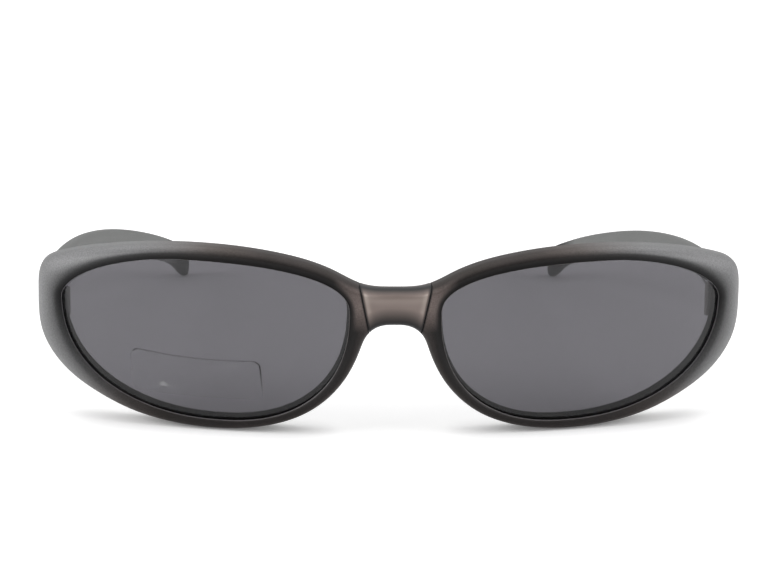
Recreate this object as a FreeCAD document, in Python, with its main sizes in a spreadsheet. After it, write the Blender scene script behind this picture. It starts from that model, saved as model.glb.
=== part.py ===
import FreeCAD, Part
import math
import os
from FreeCAD import Placement, Rotation, Vector

# Wraparound sunglasses, in millimetres: X across the face, Y from the front back to the ears, Z up.
# The wearer looks along -Y, so the wearer's left is +X. Everything is built for the left half and
# mirrored in the plane X = 0. The glasses stand on the bottoms of the rims and the tips of the arms.

doc = FreeCAD.newDocument("WraparoundSunglasses")

# ---------------------------------------------------------------------------
# Driving dimensions
# ---------------------------------------------------------------------------

DIMENSIONS = (
    ("lens_gap", 17.5, "between the two lens openings at the nose"),
    ("lens_width", 55.6, "lens opening, across"),
    ("lens_height", 31.9, "lens opening, up and down"),
    ("lens_peak_shift", 4.0, "highest point of the opening, outboard of its middle"),
    ("lens_low_shift", 3.7, "lowest point of the opening, inboard of its middle"),
    ("lens_waist", 22.3, "height of the opening's widest line above its lowest point"),
    ("lens_curve", 88.0, "radius of the front of the lens, a 6 base curve"),
    ("lens_thickness", 2.0, "lens, front to back"),
    ("lens_setback", 5.2, "depth of the lens middle behind the datum"),
    ("wrap_angle", 14.1, "turn of each lens about Z"),
    ("tilt_angle", 6.2, "lean of each lens, top forward"),
    ("groove_depth", 0.9, "lens edge let into the rim"),
    ("groove_gap", 0.05, "clearance round the lens edge"),
    ("rim_bottom", 2.0, "rim under the lens, and so the lens's height off the floor"),
    ("rim_proud", 1.3, "rim in front of the lens"),
    ("rim_behind", 3.4, "rim behind the lens"),
    ("rim_outer_round", 0.95, "rounding of the rim's outer edges"),
    ("rim_inner_round", 0.6, "rounding of the rim's edges at the lens"),
    ("bridge_top", 28.6, "top of the bridge above the floor"),
    ("bridge_shoulder", 4.6, "half the nearly level part of the bridge's top"),
    ("bridge_rise", 0.3, "rise of the bridge's top at the shoulder"),
    ("arch_top", 21.35, "underside of the bridge above the floor"),
    ("arch_half_width", 4.8, "half the nose arch, under the bridge"),
    ("arch_corner", 1.2, "drop of the arch at that half width"),
    ("arch_flat", 2.64, "half the nearly level part of the arch"),
    ("arch_flat_drop", 0.15, "drop of the arch at the end of that part"),
    ("bridge_hollow", 1.4, "hollow in the front of the bridge"),
    ("bridge_bow", 0.7, "bow in the back of the bridge"),
    ("seam_half_width", 5.1, "half the bridge piece at the arch"),
    ("seam_lean", 12.0, "lean of each bridge seam from upright"),
    ("bridge_pin_radius", 0.7, "dowel across the bridge seam"),
    ("bridge_pin_inboard", 3.0, "dowel inside the bridge"),
    ("bridge_pin_outboard", 1.9, "dowel inside the rim"),
    ("bridge_pin_spacing", 3.6, "between the two dowels of a seam"),
    ("bridge_pin_inset", 1.4, "dowel behind the back of the lens"),
    ("pin_fit", 0.02, "radial clearance round dowels, rivets and the hinge screw"),
    ("block_bottom", 17.7, "underside of the end block above the floor"),
    ("block_height", 9.1, "end block, up and down"),
    ("block_inner", 4.6, "end block's inner face from the rim's outside"),
    ("block_setback", 1.0, "front of the end block behind the lens's front at the rim's outside"),
    ("butt_depth", 28.5, "back of the end block behind the datum"),
    ("butt_gap", 0.3, "between the end block and the arm"),
    ("knuckle_radius", 1.3, "hinge barrel"),
    ("knuckle_height", 1.6, "each of the five knuckles"),
    ("knuckle_gap", 0.05, "between one knuckle and the next"),
    ("barrel_room", 0.15, "radial room round the barrel"),
    ("barrel_inboard", 4.8, "hinge axis from the rim's outside"),
    ("screw_radius", 0.7, "hinge screw"),
    ("screw_head_radius", 1.05, "hinge screw head"),
    ("screw_head_height", 0.6, "hinge screw head"),
    ("screw_slot", 0.3, "slot in the screw head"),
    ("leaf_thickness", 0.9, "both hinge leaves"),
    ("leaf_offset", 0.6, "arm leaf's inner face from the hinge axis"),
    ("front_leaf_width", 4.1, "front leaf from the hinge axis outwards"),
    ("arm_leaf_length", 9.4, "arm leaf from the hinge axis back"),
    ("arm_leaf_height", 6.2, "arm leaf behind the barrel"),
    ("rivet_radius", 0.6, "rivets in both leaves"),
    ("rivet_head_radius", 1.0, "rivet heads on the arm leaf"),
    ("rivet_head_height", 0.35, "rivet heads on the arm leaf"),
    ("rivet_spacing", 4.2, "between the two rivets of a leaf"),
    ("front_rivet_length", 4.5, "from the back of the front leaf into the block"),
    ("arm_rivet_length", 2.9, "from the inside of the arm leaf into the arm"),
    ("front_rivet_outboard", 2.5, "front rivets from the hinge axis"),
    ("arm_rivet_back", 6.0, "arm rivets behind the hinge axis"),
    ("arm_thickness", 3.9, "arm at its front face"),
    ("arm_round", 1.3, "rounding of the arm's long edges"),
    ("core_radius", 0.6, "wire inside the arm"),
    ("core_stations", 9, "arm stations that the wire reaches"),
    ("core_fit", 0.03, "radial clearance round the wire"),
    ("core_setback", 0.5, "wire's front end behind the arm's front face"),
    ("pad_length", 3.8, "half the nose pad, along its height"),
    ("pad_width", 1.0, "half the nose pad, across"),
    ("pad_reach", 2.8, "half the nose pad, front to back"),
    ("pad_splay", 8.0, "turn of the nose pad about Z"),
    ("pad_slope", 23.0, "lean of the nose pad with the side of the nose"),
    ("pad_height", 14.6, "middle of the nose pad above the floor"),
    ("pad_outboard", 8.7, "middle of the nose pad from the centre plane"),
    ("pad_depth", 8.3, "middle of the nose pad behind the datum"),
    ("film_width", 25.0, "clear film on the right lens, across"),
    ("film_height", 8.6, "clear film, up and down"),
    ("film_thickness", 0.1, "clear film"),
    ("film_corner", 1.6, "clear film's rounded corners"),
    ("film_bottom", 6.9, "clear film's lower edge above the floor"),
    ("film_inner", 25.2, "clear film's inner edge from the centre plane"),
)

# How full each quarter of the lens opening is: 2 is an ellipse and more is squarer.
FULLNESS = (
    ("fullness_brow", 1.82),
    ("fullness_nose_top", 2.25),
    ("fullness_nose_low", 2.31),
    ("fullness_cheek", 2.21),
)

# Width of the rim square to the lens, by the angle round the lens: 0 is at the temple, 90 on top.
RIM_WIDTHS = (
    (165, 3.8),
    (150, 2.65),
    (120, 2.7),
    (90, 2.75),
    (60, 3.15),
    (45, 3.85),
    (30, 4.95),
    (15, 6.2),
    (0, 5.2),
    (345, 5.9),
    (330, 5.2),
    (315, 3.75),
    (300, 2.9),
    (285, 2.3),
    (250, 1.85),
    (235, 2.1),
    (210, 2.5),
    (195, 2.95),
)

# Where the rim's outline is drawn through; at 270 its width is rim_bottom.
RIM_ANGLES = (165, 150, 120, 90, 60, 45, 30, 15, 0, 345, 330, 315, 300, 285, 270, 250, 235, 210, 195)

# The arm at its stations: distance behind its front face, inset of its outside from the rim's
# widest point, thickness, top and underside above the floor.
ARM_STATIONS = (
    (9.0, -0.5, 3.7, 26.4, 18.3),
    (20.0, -0.4, 3.4, 26.1, 20.6),
    (33.0, 0.5, 3.2, 25.8, 20.0),
    (51.0, 2.7, 3.1, 24.4, 17.7),
    (70.0, 6.4, 3.0, 21.6, 14.4),
    (90.0, 11.6, 2.9, 17.1, 10.3),
    (104.0, 16.0, 2.8, 13.0, 6.8),
    (113.0, 19.1, 2.7, 9.8, 2.8),
    (118.0, 20.9, 2.4, 7.1, 0.1),
    (120.5, 21.8, 1.4, 4.6, 0.9),
)
ARM_VALUES = ("back", "inset", "thickness", "top", "bottom")

sheet = doc.addObject("Spreadsheet::Sheet", "Sizes")


def write_sizes():
    """Put every driving dimension in the sheet, one to a row, under its own alias."""
    rows = list(DIMENSIONS)
    rows += [(name, number, "fullness of a quarter of the lens opening") for name, number in FULLNESS]
    rows += [("rim_width_%d" % angle, width, "rim width at that angle") for angle, width in RIM_WIDTHS]
    for place, station in enumerate(ARM_STATIONS, 1):
        for name, number in zip(ARM_VALUES, station):
            rows.append(("arm_%d_%s" % (place, name), number, "arm station"))
    for row, (name, number, note) in enumerate(rows, 1):
        sheet.set("A%d" % row, name)
        sheet.set("B%d" % row, str(number))
        sheet.setAlias("B%d" % row, name)
        sheet.set("C%d" % row, note)
    doc.recompute()


write_sizes()


def size(name):
    """The number in the sheet under this alias."""
    return float(sheet.get(name))


# ---------------------------------------------------------------------------
# Places worked out from the driving dimensions
# ---------------------------------------------------------------------------

nasal = size("lens_gap") / 2
temporal = nasal + size("lens_width")
lens_low = size("rim_bottom")
lens_high = lens_low + size("lens_height")
waist = lens_low + size("lens_waist")
lens_middle = (nasal + temporal) / 2
peak = lens_middle + size("lens_peak_shift")
low = lens_middle - size("lens_low_shift")
outside = temporal + size("rim_width_0")

wrap = math.radians(size("wrap_angle"))
tilt = math.radians(size("tilt_angle"))
facing = Vector(math.sin(wrap) * math.cos(tilt), -math.cos(wrap) * math.cos(tilt), -math.sin(tilt))
lens_point = Vector(lens_middle, size("lens_setback"), (lens_low + lens_high) / 2)
curve_centre = lens_point - facing * size("lens_curve")

lens_front = size("lens_curve")
lens_back = lens_front - size("lens_thickness")
rim_front = lens_front + size("rim_proud")
rim_back = lens_back - size("rim_behind")

butt = size("butt_depth")
arm_start = butt + size("butt_gap")
block_middle = size("block_bottom") + size("block_height") / 2
hinge_x = outside - size("barrel_inboard")
hinge_y = butt + size("butt_gap") / 2
pitch = size("knuckle_height") + size("knuckle_gap")
hinge_bottom = block_middle - 2 * pitch - size("knuckle_height") / 2
hinge_top = block_middle + 2 * pitch + size("knuckle_height") / 2

# Long enough to run right through the glasses in any direction.
through = 2 * (outside + butt)


def surface_depth(radius, x, z):
    """Depth of the sphere of this radius about the lens's centre of curvature, over x and z."""
    return curve_centre.y - math.sqrt(radius ** 2 - (x - curve_centre.x) ** 2 - (z - curve_centre.z) ** 2)


# ---------------------------------------------------------------------------
# Small makers
# ---------------------------------------------------------------------------


def feature(name, shape):
    """A plain feature that holds a shape worked out here."""
    item = doc.addObject("Part::Feature", name)
    item.Shape = shape
    return item


def ball(name, radius, bound):
    """A sphere about the lens's centre of curvature, its radius bound to the sheet."""
    item = doc.addObject("Part::Sphere", name)
    item.Radius = radius
    item.setExpression("Radius", bound)
    item.Placement = Placement(curve_centre, Rotation())
    return item


def box(name, low_corner, high_corner):
    """A box between two corners."""
    item = doc.addObject("Part::Box", name)
    item.Length = high_corner[0] - low_corner[0]
    item.Width = high_corner[1] - low_corner[1]
    item.Height = high_corner[2] - low_corner[2]
    item.Placement = Placement(Vector(*low_corner), Rotation())
    return item


def rod(name, radius, length, start, axis, bound=None):
    """A cylinder from a start point along an axis, its radius bound to the sheet."""
    item = doc.addObject("Part::Cylinder", name)
    item.Radius = radius
    item.Height = length
    if bound:
        item.setExpression("Radius", bound)
    item.Placement = Placement(Vector(*start), Rotation(Vector(0, 0, 1), Vector(*axis)))
    return item


def cut(name, base, tool):
    item = doc.addObject("Part::Cut", name)
    item.Base = base
    item.Tool = tool
    return item


def common(name, *items):
    item = doc.addObject("Part::MultiCommon", name)
    item.Shapes = list(items)
    return item


def fuse(name, *items):
    item = doc.addObject("Part::MultiFuse", name)
    item.Shapes = list(items)
    item.Refine = True
    return item


def group(name, *items):
    """Separate solids that share one node."""
    item = doc.addObject("Part::Compound", name)
    item.Links = list(items)
    return item


def extrude(name, wire, start, length, axis=(0, 1, 0)):
    """A closed flat wire made a face and carried along an axis."""
    profile = feature(name + "Profile", Part.Face(wire))
    profile.Placement = Placement(Vector(*axis) * start, Rotation())
    item = doc.addObject("Part::Extrusion", name)
    item.Base = profile
    item.DirMode = "Custom"
    item.Dir = Vector(*axis)
    item.LengthFwd = length
    item.Solid = True
    return item


def mirrored(name, item):
    """The same thing on the wearer's right."""
    copy = doc.addObject("Part::Mirroring", name)
    copy.Source = item
    copy.Base = Vector(0, 0, 0)
    copy.Normal = Vector(1, 0, 0)
    return copy


parts = []


def finish(label, item):
    """Keep this object as a sub-part under its own label."""
    item.Label = label
    parts.append(item)
    return item


# ---------------------------------------------------------------------------
# Outlines, seen from the front
# ---------------------------------------------------------------------------


def lens_edge(angle, grow=0.0):
    """A point on the lens opening: four quarters of superellipse that meet at its four extremes."""
    across = math.cos(math.radians(angle))
    upward = math.sin(math.radians(angle))
    outer = across >= 0
    upper = upward >= 0
    middle = peak if upper else low
    half_width = (temporal - middle if outer else middle - nasal) + grow
    half_height = (lens_high - waist if upper else waist - lens_low) + grow
    if upper:
        fullness = size("fullness_brow") if outer else size("fullness_nose_top")
    else:
        fullness = size("fullness_cheek") if outer else size("fullness_nose_low")
    x = middle + math.copysign(half_width * abs(across) ** (2 / fullness), across)
    z = waist + math.copysign(half_height * abs(upward) ** (2 / fullness), upward)
    return Vector(x, 0, z)


def lens_wire(grow):
    """The whole lens opening, made larger all round by grow."""
    steps = 36
    curve = Part.BSplineCurve()
    curve.interpolate([lens_edge(360.0 * k / steps, grow) for k in range(steps)], PeriodicFlag=True)
    return Part.Wire(curve.toShape())


def rim_point(angle):
    """A point on the rim's outside: off the lens opening, square to it, by the rim's width."""
    step = 1.0
    before = lens_edge(angle - step)
    after = lens_edge(angle + step)
    along = (after - before).normalize()
    outward = Vector(along.z, 0, -along.x)
    width = size("rim_bottom") if angle == 270 else size("rim_width_%d" % angle)
    return lens_edge(angle) + outward * width


def front_wire():
    """The whole front as one smooth loop: brow, temple, cheek, nose and arch, the same on both sides."""
    half = [Vector(size("bridge_shoulder"), 0, size("bridge_top") + size("bridge_rise"))]
    half += [rim_point(angle) for angle in RIM_ANGLES]
    half.append(Vector(size("arch_half_width"), 0, size("arch_top") - size("arch_corner")))
    half.append(Vector(size("arch_flat"), 0, size("arch_top") - size("arch_flat_drop")))
    other = [Vector(-point.x, 0, point.z) for point in reversed(half)]
    middle_low = Vector(0, 0, size("arch_top"))
    middle_high = Vector(0, 0, size("bridge_top"))
    curve = Part.BSplineCurve()
    curve.interpolate([middle_high] + half + [middle_low] + other, PeriodicFlag=True)
    return Part.Wire(curve.toShape())


def rounded_rectangle(x_low, x_high, z_low, z_high, radius):
    """A rectangle with four equal round corners."""
    corners = []
    for x, z, turn in ((x_high, z_low, -90), (x_high, z_high, 0), (x_low, z_high, 90), (x_low, z_low, 180)):
        centre = Vector(x - math.copysign(radius, x - (x_low + x_high) / 2), 0,
                        z - math.copysign(radius, z - (z_low + z_high) / 2))
        swing = []
        for step in (0, 45, 90):
            angle = math.radians(turn + step)
            swing.append(centre + Vector(math.cos(angle), 0, math.sin(angle)) * radius)
        corners.append(swing)
    edges = []
    for here, following in zip(corners, corners[1:] + corners[:1]):
        edges.append(Part.Arc(*here).toShape())
        edges.append(Part.makeLine(here[2], following[0]))
    return Part.Wire(edges)


# ---------------------------------------------------------------------------
# The lens, its opening and its groove
# ---------------------------------------------------------------------------

lens_front_ball = ball("LensFrontBall", lens_front, "Sizes.lens_curve")
lens_back_ball = ball("LensBackBall", lens_back, "Sizes.lens_curve - Sizes.lens_thickness")
rim_front_ball = ball("RimFrontBall", rim_front, "Sizes.lens_curve + Sizes.rim_proud")
rim_back_ball = ball("RimBackBall", rim_back, "Sizes.lens_curve - Sizes.lens_thickness - Sizes.rim_behind")
groove_front_ball = ball("GrooveFrontBall", lens_front + size("groove_gap"),
                         "Sizes.lens_curve + Sizes.groove_gap")
groove_back_ball = ball("GrooveBackBall", lens_back - size("groove_gap"),
                        "Sizes.lens_curve - Sizes.lens_thickness - Sizes.groove_gap")

opening = extrude("Opening", lens_wire(0), -through / 2, through)
lens_blank = extrude("LensBlank", lens_wire(size("groove_depth") - size("groove_gap")), -through / 2, through)
groove_blank = extrude("GrooveBlank", lens_wire(size("groove_depth")), -through / 2, through)

lens_left = cut("LensLeft", common("LensDisc", lens_blank, lens_front_ball), lens_back_ball)
groove = cut("Groove", common("GrooveDisc", groove_blank, groove_front_ball), groove_back_ball)


# ---------------------------------------------------------------------------
# The front: a rounded ring round each lens, cut from the bridge at a leaning seam
# ---------------------------------------------------------------------------

seam_lean = math.tan(math.radians(size("seam_lean")))


def seam_x(z):
    """Half the width of the bridge piece at this height."""
    return size("seam_half_width") + (z - size("arch_top")) * seam_lean


def flat_loop(*corners):
    """A closed loop of straight edges between corners given as x and z."""
    points = [Vector(x, 0, z) for x, z in corners]
    return Part.makePolygon(points + points[:1])


below = -size("lens_height")
above = 2 * size("lens_height")

front_blank = extrude("FrontBlank", front_wire(), -through / 2, through)
half_room = box("HalfRoom", (size("seam_half_width") / 2, -through / 2, below), (through, through / 2, above))
rim_disc = common("RimDisc", front_blank, half_room, rim_front_ball)
rim_ring = cut("RimRing", cut("RimShell", rim_disc, rim_back_ball), opening)
doc.recompute()


narrowest = min([size("rim_bottom")] + [size("rim_width_%d" % angle) for angle, width in RIM_WIDTHS])
# The most of the rim's narrowest width that each rounding may take.
OUTER_SHARE = 0.52
INNER_SHARE = 0.3
outer_round = min(size("rim_outer_round"), OUTER_SHARE * narrowest)
inner_round = min(size("rim_inner_round"), INNER_SHARE * narrowest)


def rounded(name, item, edges):
    """The object with its numbered edges rounded, each by its own amount."""
    result = doc.addObject("Part::Fillet", name)
    result.Base = item
    result.Edges = [(number, amount, amount) for number, amount in edges]
    doc.recompute()
    return result


def loops_at(item, radius):
    """The outer and inner edge loops on the sphere of this radius about the lens's centre of curvature."""
    near = 0.01
    samples = 7
    loops = []
    for number, edge in enumerate(item.Shape.Edges, 1):
        reaches = [(point - curve_centre).Length for point in edge.discretize(samples)]
        on_sphere = all(abs(reach - radius) < near for reach in reaches)
        if on_sphere and edge.Length > size("lens_height"):
            loops.append((edge.Length, number))
    loops.sort(reverse=True)
    return [(loops[0][1], outer_round), (loops[1][1], inner_round)]


rim_eased = rounded("RimEased", rim_ring, loops_at(rim_ring, rim_front))
rim_soft = rounded("RimSoft", rim_eased, loops_at(rim_eased, rim_back))

outboard_of_seam = extrude("OutboardOfSeam", flat_loop((seam_x(below), below), (through, below),
                                                       (through, above), (seam_x(above), above)),
                           -through / 2, through)
rim_part = common("RimPart", rim_soft, outboard_of_seam)

block_inner = outside - size("block_inner")
block_front = surface_depth(lens_front, outside, block_middle) + size("block_setback")
block_room = box("BlockRoom", (block_inner, block_front, size("block_bottom")),
                 (through, butt, size("block_bottom") + size("block_height")))
end_block = common("EndBlock", front_blank, block_room)


# ---------------------------------------------------------------------------
# The hinge: five knuckles on an upright screw, a leaf let into the end block and one into the arm
# ---------------------------------------------------------------------------

leaf_inner = hinge_x + size("leaf_offset")
leaf_outer = leaf_inner + size("leaf_thickness")
room_radius = size("knuckle_radius") + size("barrel_room")


def knuckle_level(number):
    """Height of the bottom of a knuckle, counted from 0 at the lowest."""
    return hinge_bottom + number * pitch


def knuckles(name, numbers, radius_bound, spare=0.0):
    """A stack of cylinders on the hinge axis, with some spare height above and below each."""
    stack = []
    for number in numbers:
        start = (hinge_x, hinge_y, knuckle_level(number) - spare)
        height = size("knuckle_height") + 2 * spare
        knuckle = "%s%d" % (name, number)
        stack.append(rod(knuckle, size("knuckle_radius"), height, start, (0, 0, 1), radius_bound))
    return stack


ROOM_BOUND = "Sizes.knuckle_radius + Sizes.barrel_room"
hinge_bore = rod("HingeBore", size("screw_radius") + size("pin_fit"), 4 * through,
                 (hinge_x, hinge_y, -2 * through), (0, 0, 1), "Sizes.screw_radius + Sizes.pin_fit")

front_plate = box("FrontPlate", (hinge_x, butt - size("leaf_thickness"), hinge_bottom),
                  (hinge_x + size("front_leaf_width"), butt, hinge_top))
front_body = fuse("FrontLeafBody", front_plate, *knuckles("FrontKnuckle", (0, 2, 4), "Sizes.knuckle_radius"))
front_rivet_x = hinge_x + size("front_rivet_outboard")
rivet_levels = (block_middle - size("rivet_spacing") / 2, block_middle + size("rivet_spacing") / 2)


def front_rivets(name, bound):
    """The two rivets that run forward from the back of the front leaf into the end block."""
    return [rod("%s%d" % (name, place), size("rivet_radius"), size("front_rivet_length"),
                (front_rivet_x, butt, level), (0, -1, 0), bound)
            for place, level in enumerate(rivet_levels)]


def arm_rivets(name, bound):
    """The two rivets that run outwards from the inside of the arm leaf into the arm."""
    return [rod("%s%d" % (name, place), size("rivet_radius"), size("arm_rivet_length"),
                (leaf_inner, hinge_y + size("arm_rivet_back"), level), (1, 0, 0), bound)
            for place, level in enumerate(rivet_levels)]


RIVET_HOLE = "Sizes.rivet_radius + Sizes.pin_fit"
front_voids = fuse("FrontLeafVoids", hinge_bore, *front_rivets("FrontRivetHole", RIVET_HOLE),
                   *knuckles("ArmKnuckleRoom", (1, 3), ROOM_BOUND, size("knuckle_gap")))
front_leaf = cut("FrontLeaf", front_body, front_voids)
front_rivet_pair = group("FrontRivets", *front_rivets("FrontRivet", "Sizes.rivet_radius"))

arm_leaf_low = block_middle - size("arm_leaf_height") / 2
arm_leaf_high = block_middle + size("arm_leaf_height") / 2
arm_plate = box("ArmPlate", (leaf_inner, hinge_y, arm_leaf_low),
                (leaf_outer, hinge_y + size("arm_leaf_length"), arm_leaf_high))
arm_body = fuse("ArmLeafBody", arm_plate, *knuckles("ArmKnuckle", (1, 3), "Sizes.knuckle_radius"))
arm_voids = fuse("ArmLeafVoids", hinge_bore, *arm_rivets("ArmRivetHole", RIVET_HOLE),
                 *knuckles("FrontKnuckleRoom", (0, 2, 4), ROOM_BOUND, size("knuckle_gap")))
arm_leaf = cut("ArmLeaf", arm_body, arm_voids)

arm_rivet_pieces = []
for shank in arm_rivets("ArmRivetShank", "Sizes.rivet_radius"):
    head_start = shank.Placement.Base - Vector(size("rivet_head_height"), 0, 0)
    head = rod(shank.Name + "Head", size("rivet_head_radius"), size("rivet_head_height"), head_start,
               (1, 0, 0), "Sizes.rivet_head_radius")
    arm_rivet_pieces.append(fuse(shank.Name + "Whole", shank, head))
arm_rivet_pair = group("ArmRivets", *arm_rivet_pieces)

screw_shank = rod("ScrewShank", size("screw_radius"), hinge_top - hinge_bottom,
                  (hinge_x, hinge_y, hinge_bottom), (0, 0, 1), "Sizes.screw_radius")
screw_head = rod("ScrewHead", size("screw_head_radius"), size("screw_head_height"),
                 (hinge_x, hinge_y, hinge_top), (0, 0, 1), "Sizes.screw_head_radius")
slot_low = hinge_top + size("screw_head_height") / 2
slot = box("ScrewSlot", (hinge_x - through, hinge_y - size("screw_slot") / 2, slot_low),
           (hinge_x + through, hinge_y + size("screw_slot") / 2, slot_low + through))
screw = cut("Screw", fuse("ScrewBlank", screw_shank, screw_head), slot)

barrel_room = rod("BarrelRoom", room_radius, hinge_top - hinge_bottom + 2 * size("screw_head_height"),
                  (hinge_x, hinge_y, hinge_bottom - size("screw_head_height")), (0, 0, 1), ROOM_BOUND)


# ---------------------------------------------------------------------------
# The bridge, and the dowels across its seams
# ---------------------------------------------------------------------------

seam_level = (size("arch_top") + size("bridge_top")) / 2
bridge_edge = seam_x(size("bridge_top"))
bridge_front = surface_depth(rim_front, seam_x(seam_level), seam_level)
bridge_back = surface_depth(rim_back, seam_x(seam_level), seam_level)


def bridge_plan():
    """The bridge seen from above: a hollow front and a back that follows it."""
    hollow_middle = Vector(0, bridge_front + size("bridge_hollow"), 0)
    bow_middle = Vector(0, bridge_back + size("bridge_bow"), 0)
    corners = (Vector(-bridge_edge, bridge_front, 0), Vector(bridge_edge, bridge_front, 0),
               Vector(bridge_edge, bridge_back, 0), Vector(-bridge_edge, bridge_back, 0))
    front = Part.Arc(corners[0], hollow_middle, corners[1]).toShape()
    back = Part.Arc(corners[2], bow_middle, corners[3]).toShape()
    sides = (Part.makeLine(corners[1], corners[2]), Part.makeLine(corners[3], corners[0]))
    return Part.Wire([front, sides[0], back, sides[1]])


under_arch = size("arch_top") - size("seam_half_width")
seam_corners = ((-seam_x(under_arch), under_arch), (seam_x(under_arch), under_arch),
                (seam_x(above), above), (-seam_x(above), above))
between_seams = extrude("BetweenSeams", flat_loop(*seam_corners), -through / 2, through)
bridge_slab = extrude("BridgeSlab", bridge_plan(), -through, 2 * through, (0, 0, 1))
bridge_raw = common("BridgeRaw", front_blank, between_seams, bridge_slab)
doc.recompute()


def edges_along(item):
    """The edges that run from one seam to the other, with their rounding."""
    found = []
    for number, edge in enumerate(item.Shape.Edges, 1):
        ends = [vertex.Point for vertex in edge.Vertexes]
        if len(ends) == 2 and ends[0].x * ends[1].x < 0:
            found.append((number, outer_round))
    return found


bridge_soft = rounded("BridgeSoft", bridge_raw, edges_along(bridge_raw))

pin_depth = surface_depth(lens_back, seam_x(seam_level), seam_level) + size("bridge_pin_inset")
pin_levels = (seam_level - size("bridge_pin_spacing") / 2, seam_level + size("bridge_pin_spacing") / 2)


def seam_pins(name, side, bound):
    """The two dowels that cross one seam, level with each other front to back."""
    length = size("bridge_pin_inboard") + size("bridge_pin_outboard")
    pins = []
    for place, level in enumerate(pin_levels):
        start = side * (seam_x(level) - size("bridge_pin_inboard"))
        pins.append(rod("%s%d" % (name, place), size("bridge_pin_radius"), length, (start, pin_depth, level),
                        (side, 0, 0), bound))
    return pins


PIN_HOLE = "Sizes.bridge_pin_radius + Sizes.pin_fit"
bridge = cut("Bridge", bridge_soft, fuse("BridgeHoles", *seam_pins("BridgeHoleLeft", 1, PIN_HOLE),
                                         *seam_pins("BridgeHoleRight", -1, PIN_HOLE)))
pins_left = group("PinsLeft", *seam_pins("PinLeft", 1, "Sizes.bridge_pin_radius"))

rim_voids = fuse("RimVoids", groove, front_plate, barrel_room, *front_rivets("BlockRivetHole", RIVET_HOLE),
                 *seam_pins("RimHole", 1, PIN_HOLE))
rim_left = cut("RimLeft", fuse("RimWithBlock", rim_part, end_block), rim_voids)


# ---------------------------------------------------------------------------
# The nose pad: a flattened pebble bonded to the back of the rim
# ---------------------------------------------------------------------------

pebble = doc.addObject("Part::Ellipsoid", "PadPebble")
pebble.Angle3 = 360
pebble.setExpression("Radius1", "Sizes.pad_length")
pebble.setExpression("Radius2", "Sizes.pad_width")
pebble.setExpression("Radius3", "Sizes.pad_reach")
pad_place = Vector(size("pad_outboard"), size("pad_depth"), size("pad_height"))
pad_turn = Rotation(Vector(0, 0, 1), -size("pad_splay")) * Rotation(Vector(0, 1, 0), -size("pad_slope"))
pebble.Placement = Placement(pad_place, pad_turn)
pad_left = common("PadLeft", pebble, rim_back_ball)


# ---------------------------------------------------------------------------
# The arm: rounded sections from the end block to the ear tip, round a wire
# ---------------------------------------------------------------------------

# The most of the arm's half thickness that the rounding of its edges may take.
CORNER_SHARE = 0.9

block_top = size("block_bottom") + size("block_height")
arm_places = [dict(zip(ARM_VALUES, (0.0, 0.0, size("arm_thickness"), block_top, size("block_bottom"))))]
for place in range(1, len(ARM_STATIONS) + 1):
    arm_places.append({name: size("arm_%d_%s" % (place, name)) for name in ARM_VALUES})


def arm_outside(place):
    """The outermost point of the arm at a station, seen from above."""
    return Vector(outside - place["inset"], arm_start + place["back"], 0)


def arm_heading(number):
    """Which way the arm runs at a station: square to the end block at first, then along the curve."""
    if number == 0:
        return Vector(0, 1, 0)
    before = arm_outside(arm_places[number - 1])
    after = arm_outside(arm_places[min(number + 1, len(arm_places) - 1)])
    return (after - before).normalize()


def arm_middle(number):
    """The middle of the arm's section at a station."""
    place = arm_places[number]
    heading = arm_heading(number)
    inward = Vector(-heading.y, heading.x, 0)
    level = Vector(0, 0, (place["top"] + place["bottom"]) / 2)
    return arm_outside(place) + inward * (place["thickness"] / 2) + level


def arm_section(number):
    """The arm's section at a station: a tall rectangle with round corners, square to the arm."""
    place = arm_places[number]
    heading = arm_heading(number)
    half_thickness = place["thickness"] / 2
    half_height = (place["top"] - place["bottom"]) / 2
    corner = min(size("arm_round"), CORNER_SHARE * half_thickness)
    outline = rounded_rectangle(-half_thickness, half_thickness, -half_height, half_height, corner)
    section = feature("ArmSection%d" % number, outline)
    section.Placement = Placement(arm_middle(number), Rotation(Vector(0, 1, 0), heading))
    return section


def loft(name, sections):
    item = doc.addObject("Part::Loft", name)
    item.Sections = sections
    item.Solid = True
    item.Ruled = False
    return item


def core_path():
    """The line of the arm's wire: straight runs from station to station, joined by tangent arcs."""
    bend_share = 0.45
    points = [arm_middle(number) for number in range(int(size("core_stations")))]
    points[0] += arm_heading(0) * size("core_setback")
    edges = []
    start = points[0]
    for before, corner, after in zip(points, points[1:], points[2:]):
        coming = (corner - before).normalize()
        going = (after - corner).normalize()
        half_turn = coming.getAngle(going) / 2
        reach = bend_share * min((corner - before).Length, (after - corner).Length)
        radius = reach / math.tan(half_turn)
        inside = (going - coming).normalize()
        middle = corner + inside * (radius / math.cos(half_turn) - radius)
        edges.append(Part.makeLine(start, corner - coming * reach))
        edges.append(Part.Arc(corner - coming * reach, middle, corner + going * reach).toShape())
        start = corner + going * reach
    edges.append(Part.makeLine(start, points[-1]))
    return Part.Wire(edges)


def core_rod(name, radius):
    """A round rod along the wire's line."""
    line = core_path()
    ring = Part.Wire(Part.makeCircle(radius, line.Edges[0].Vertexes[0].Point, arm_heading(0)))
    return feature(name, line.makePipeShell([ring], True, False))


arm_solid = loft("ArmSolid", [arm_section(number) for number in range(len(arm_places))])
core_left = core_rod("CoreRod", size("core_radius"))
core_hole = core_rod("CoreHole", size("core_radius") + size("core_fit"))
arm_left = cut("ArmLeft", arm_solid, fuse("ArmVoids", core_hole, barrel_room, arm_plate,
                                          *arm_rivets("ArmHole", RIVET_HOLE)))


# ---------------------------------------------------------------------------
# The clear film on the right lens
# ---------------------------------------------------------------------------

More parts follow.
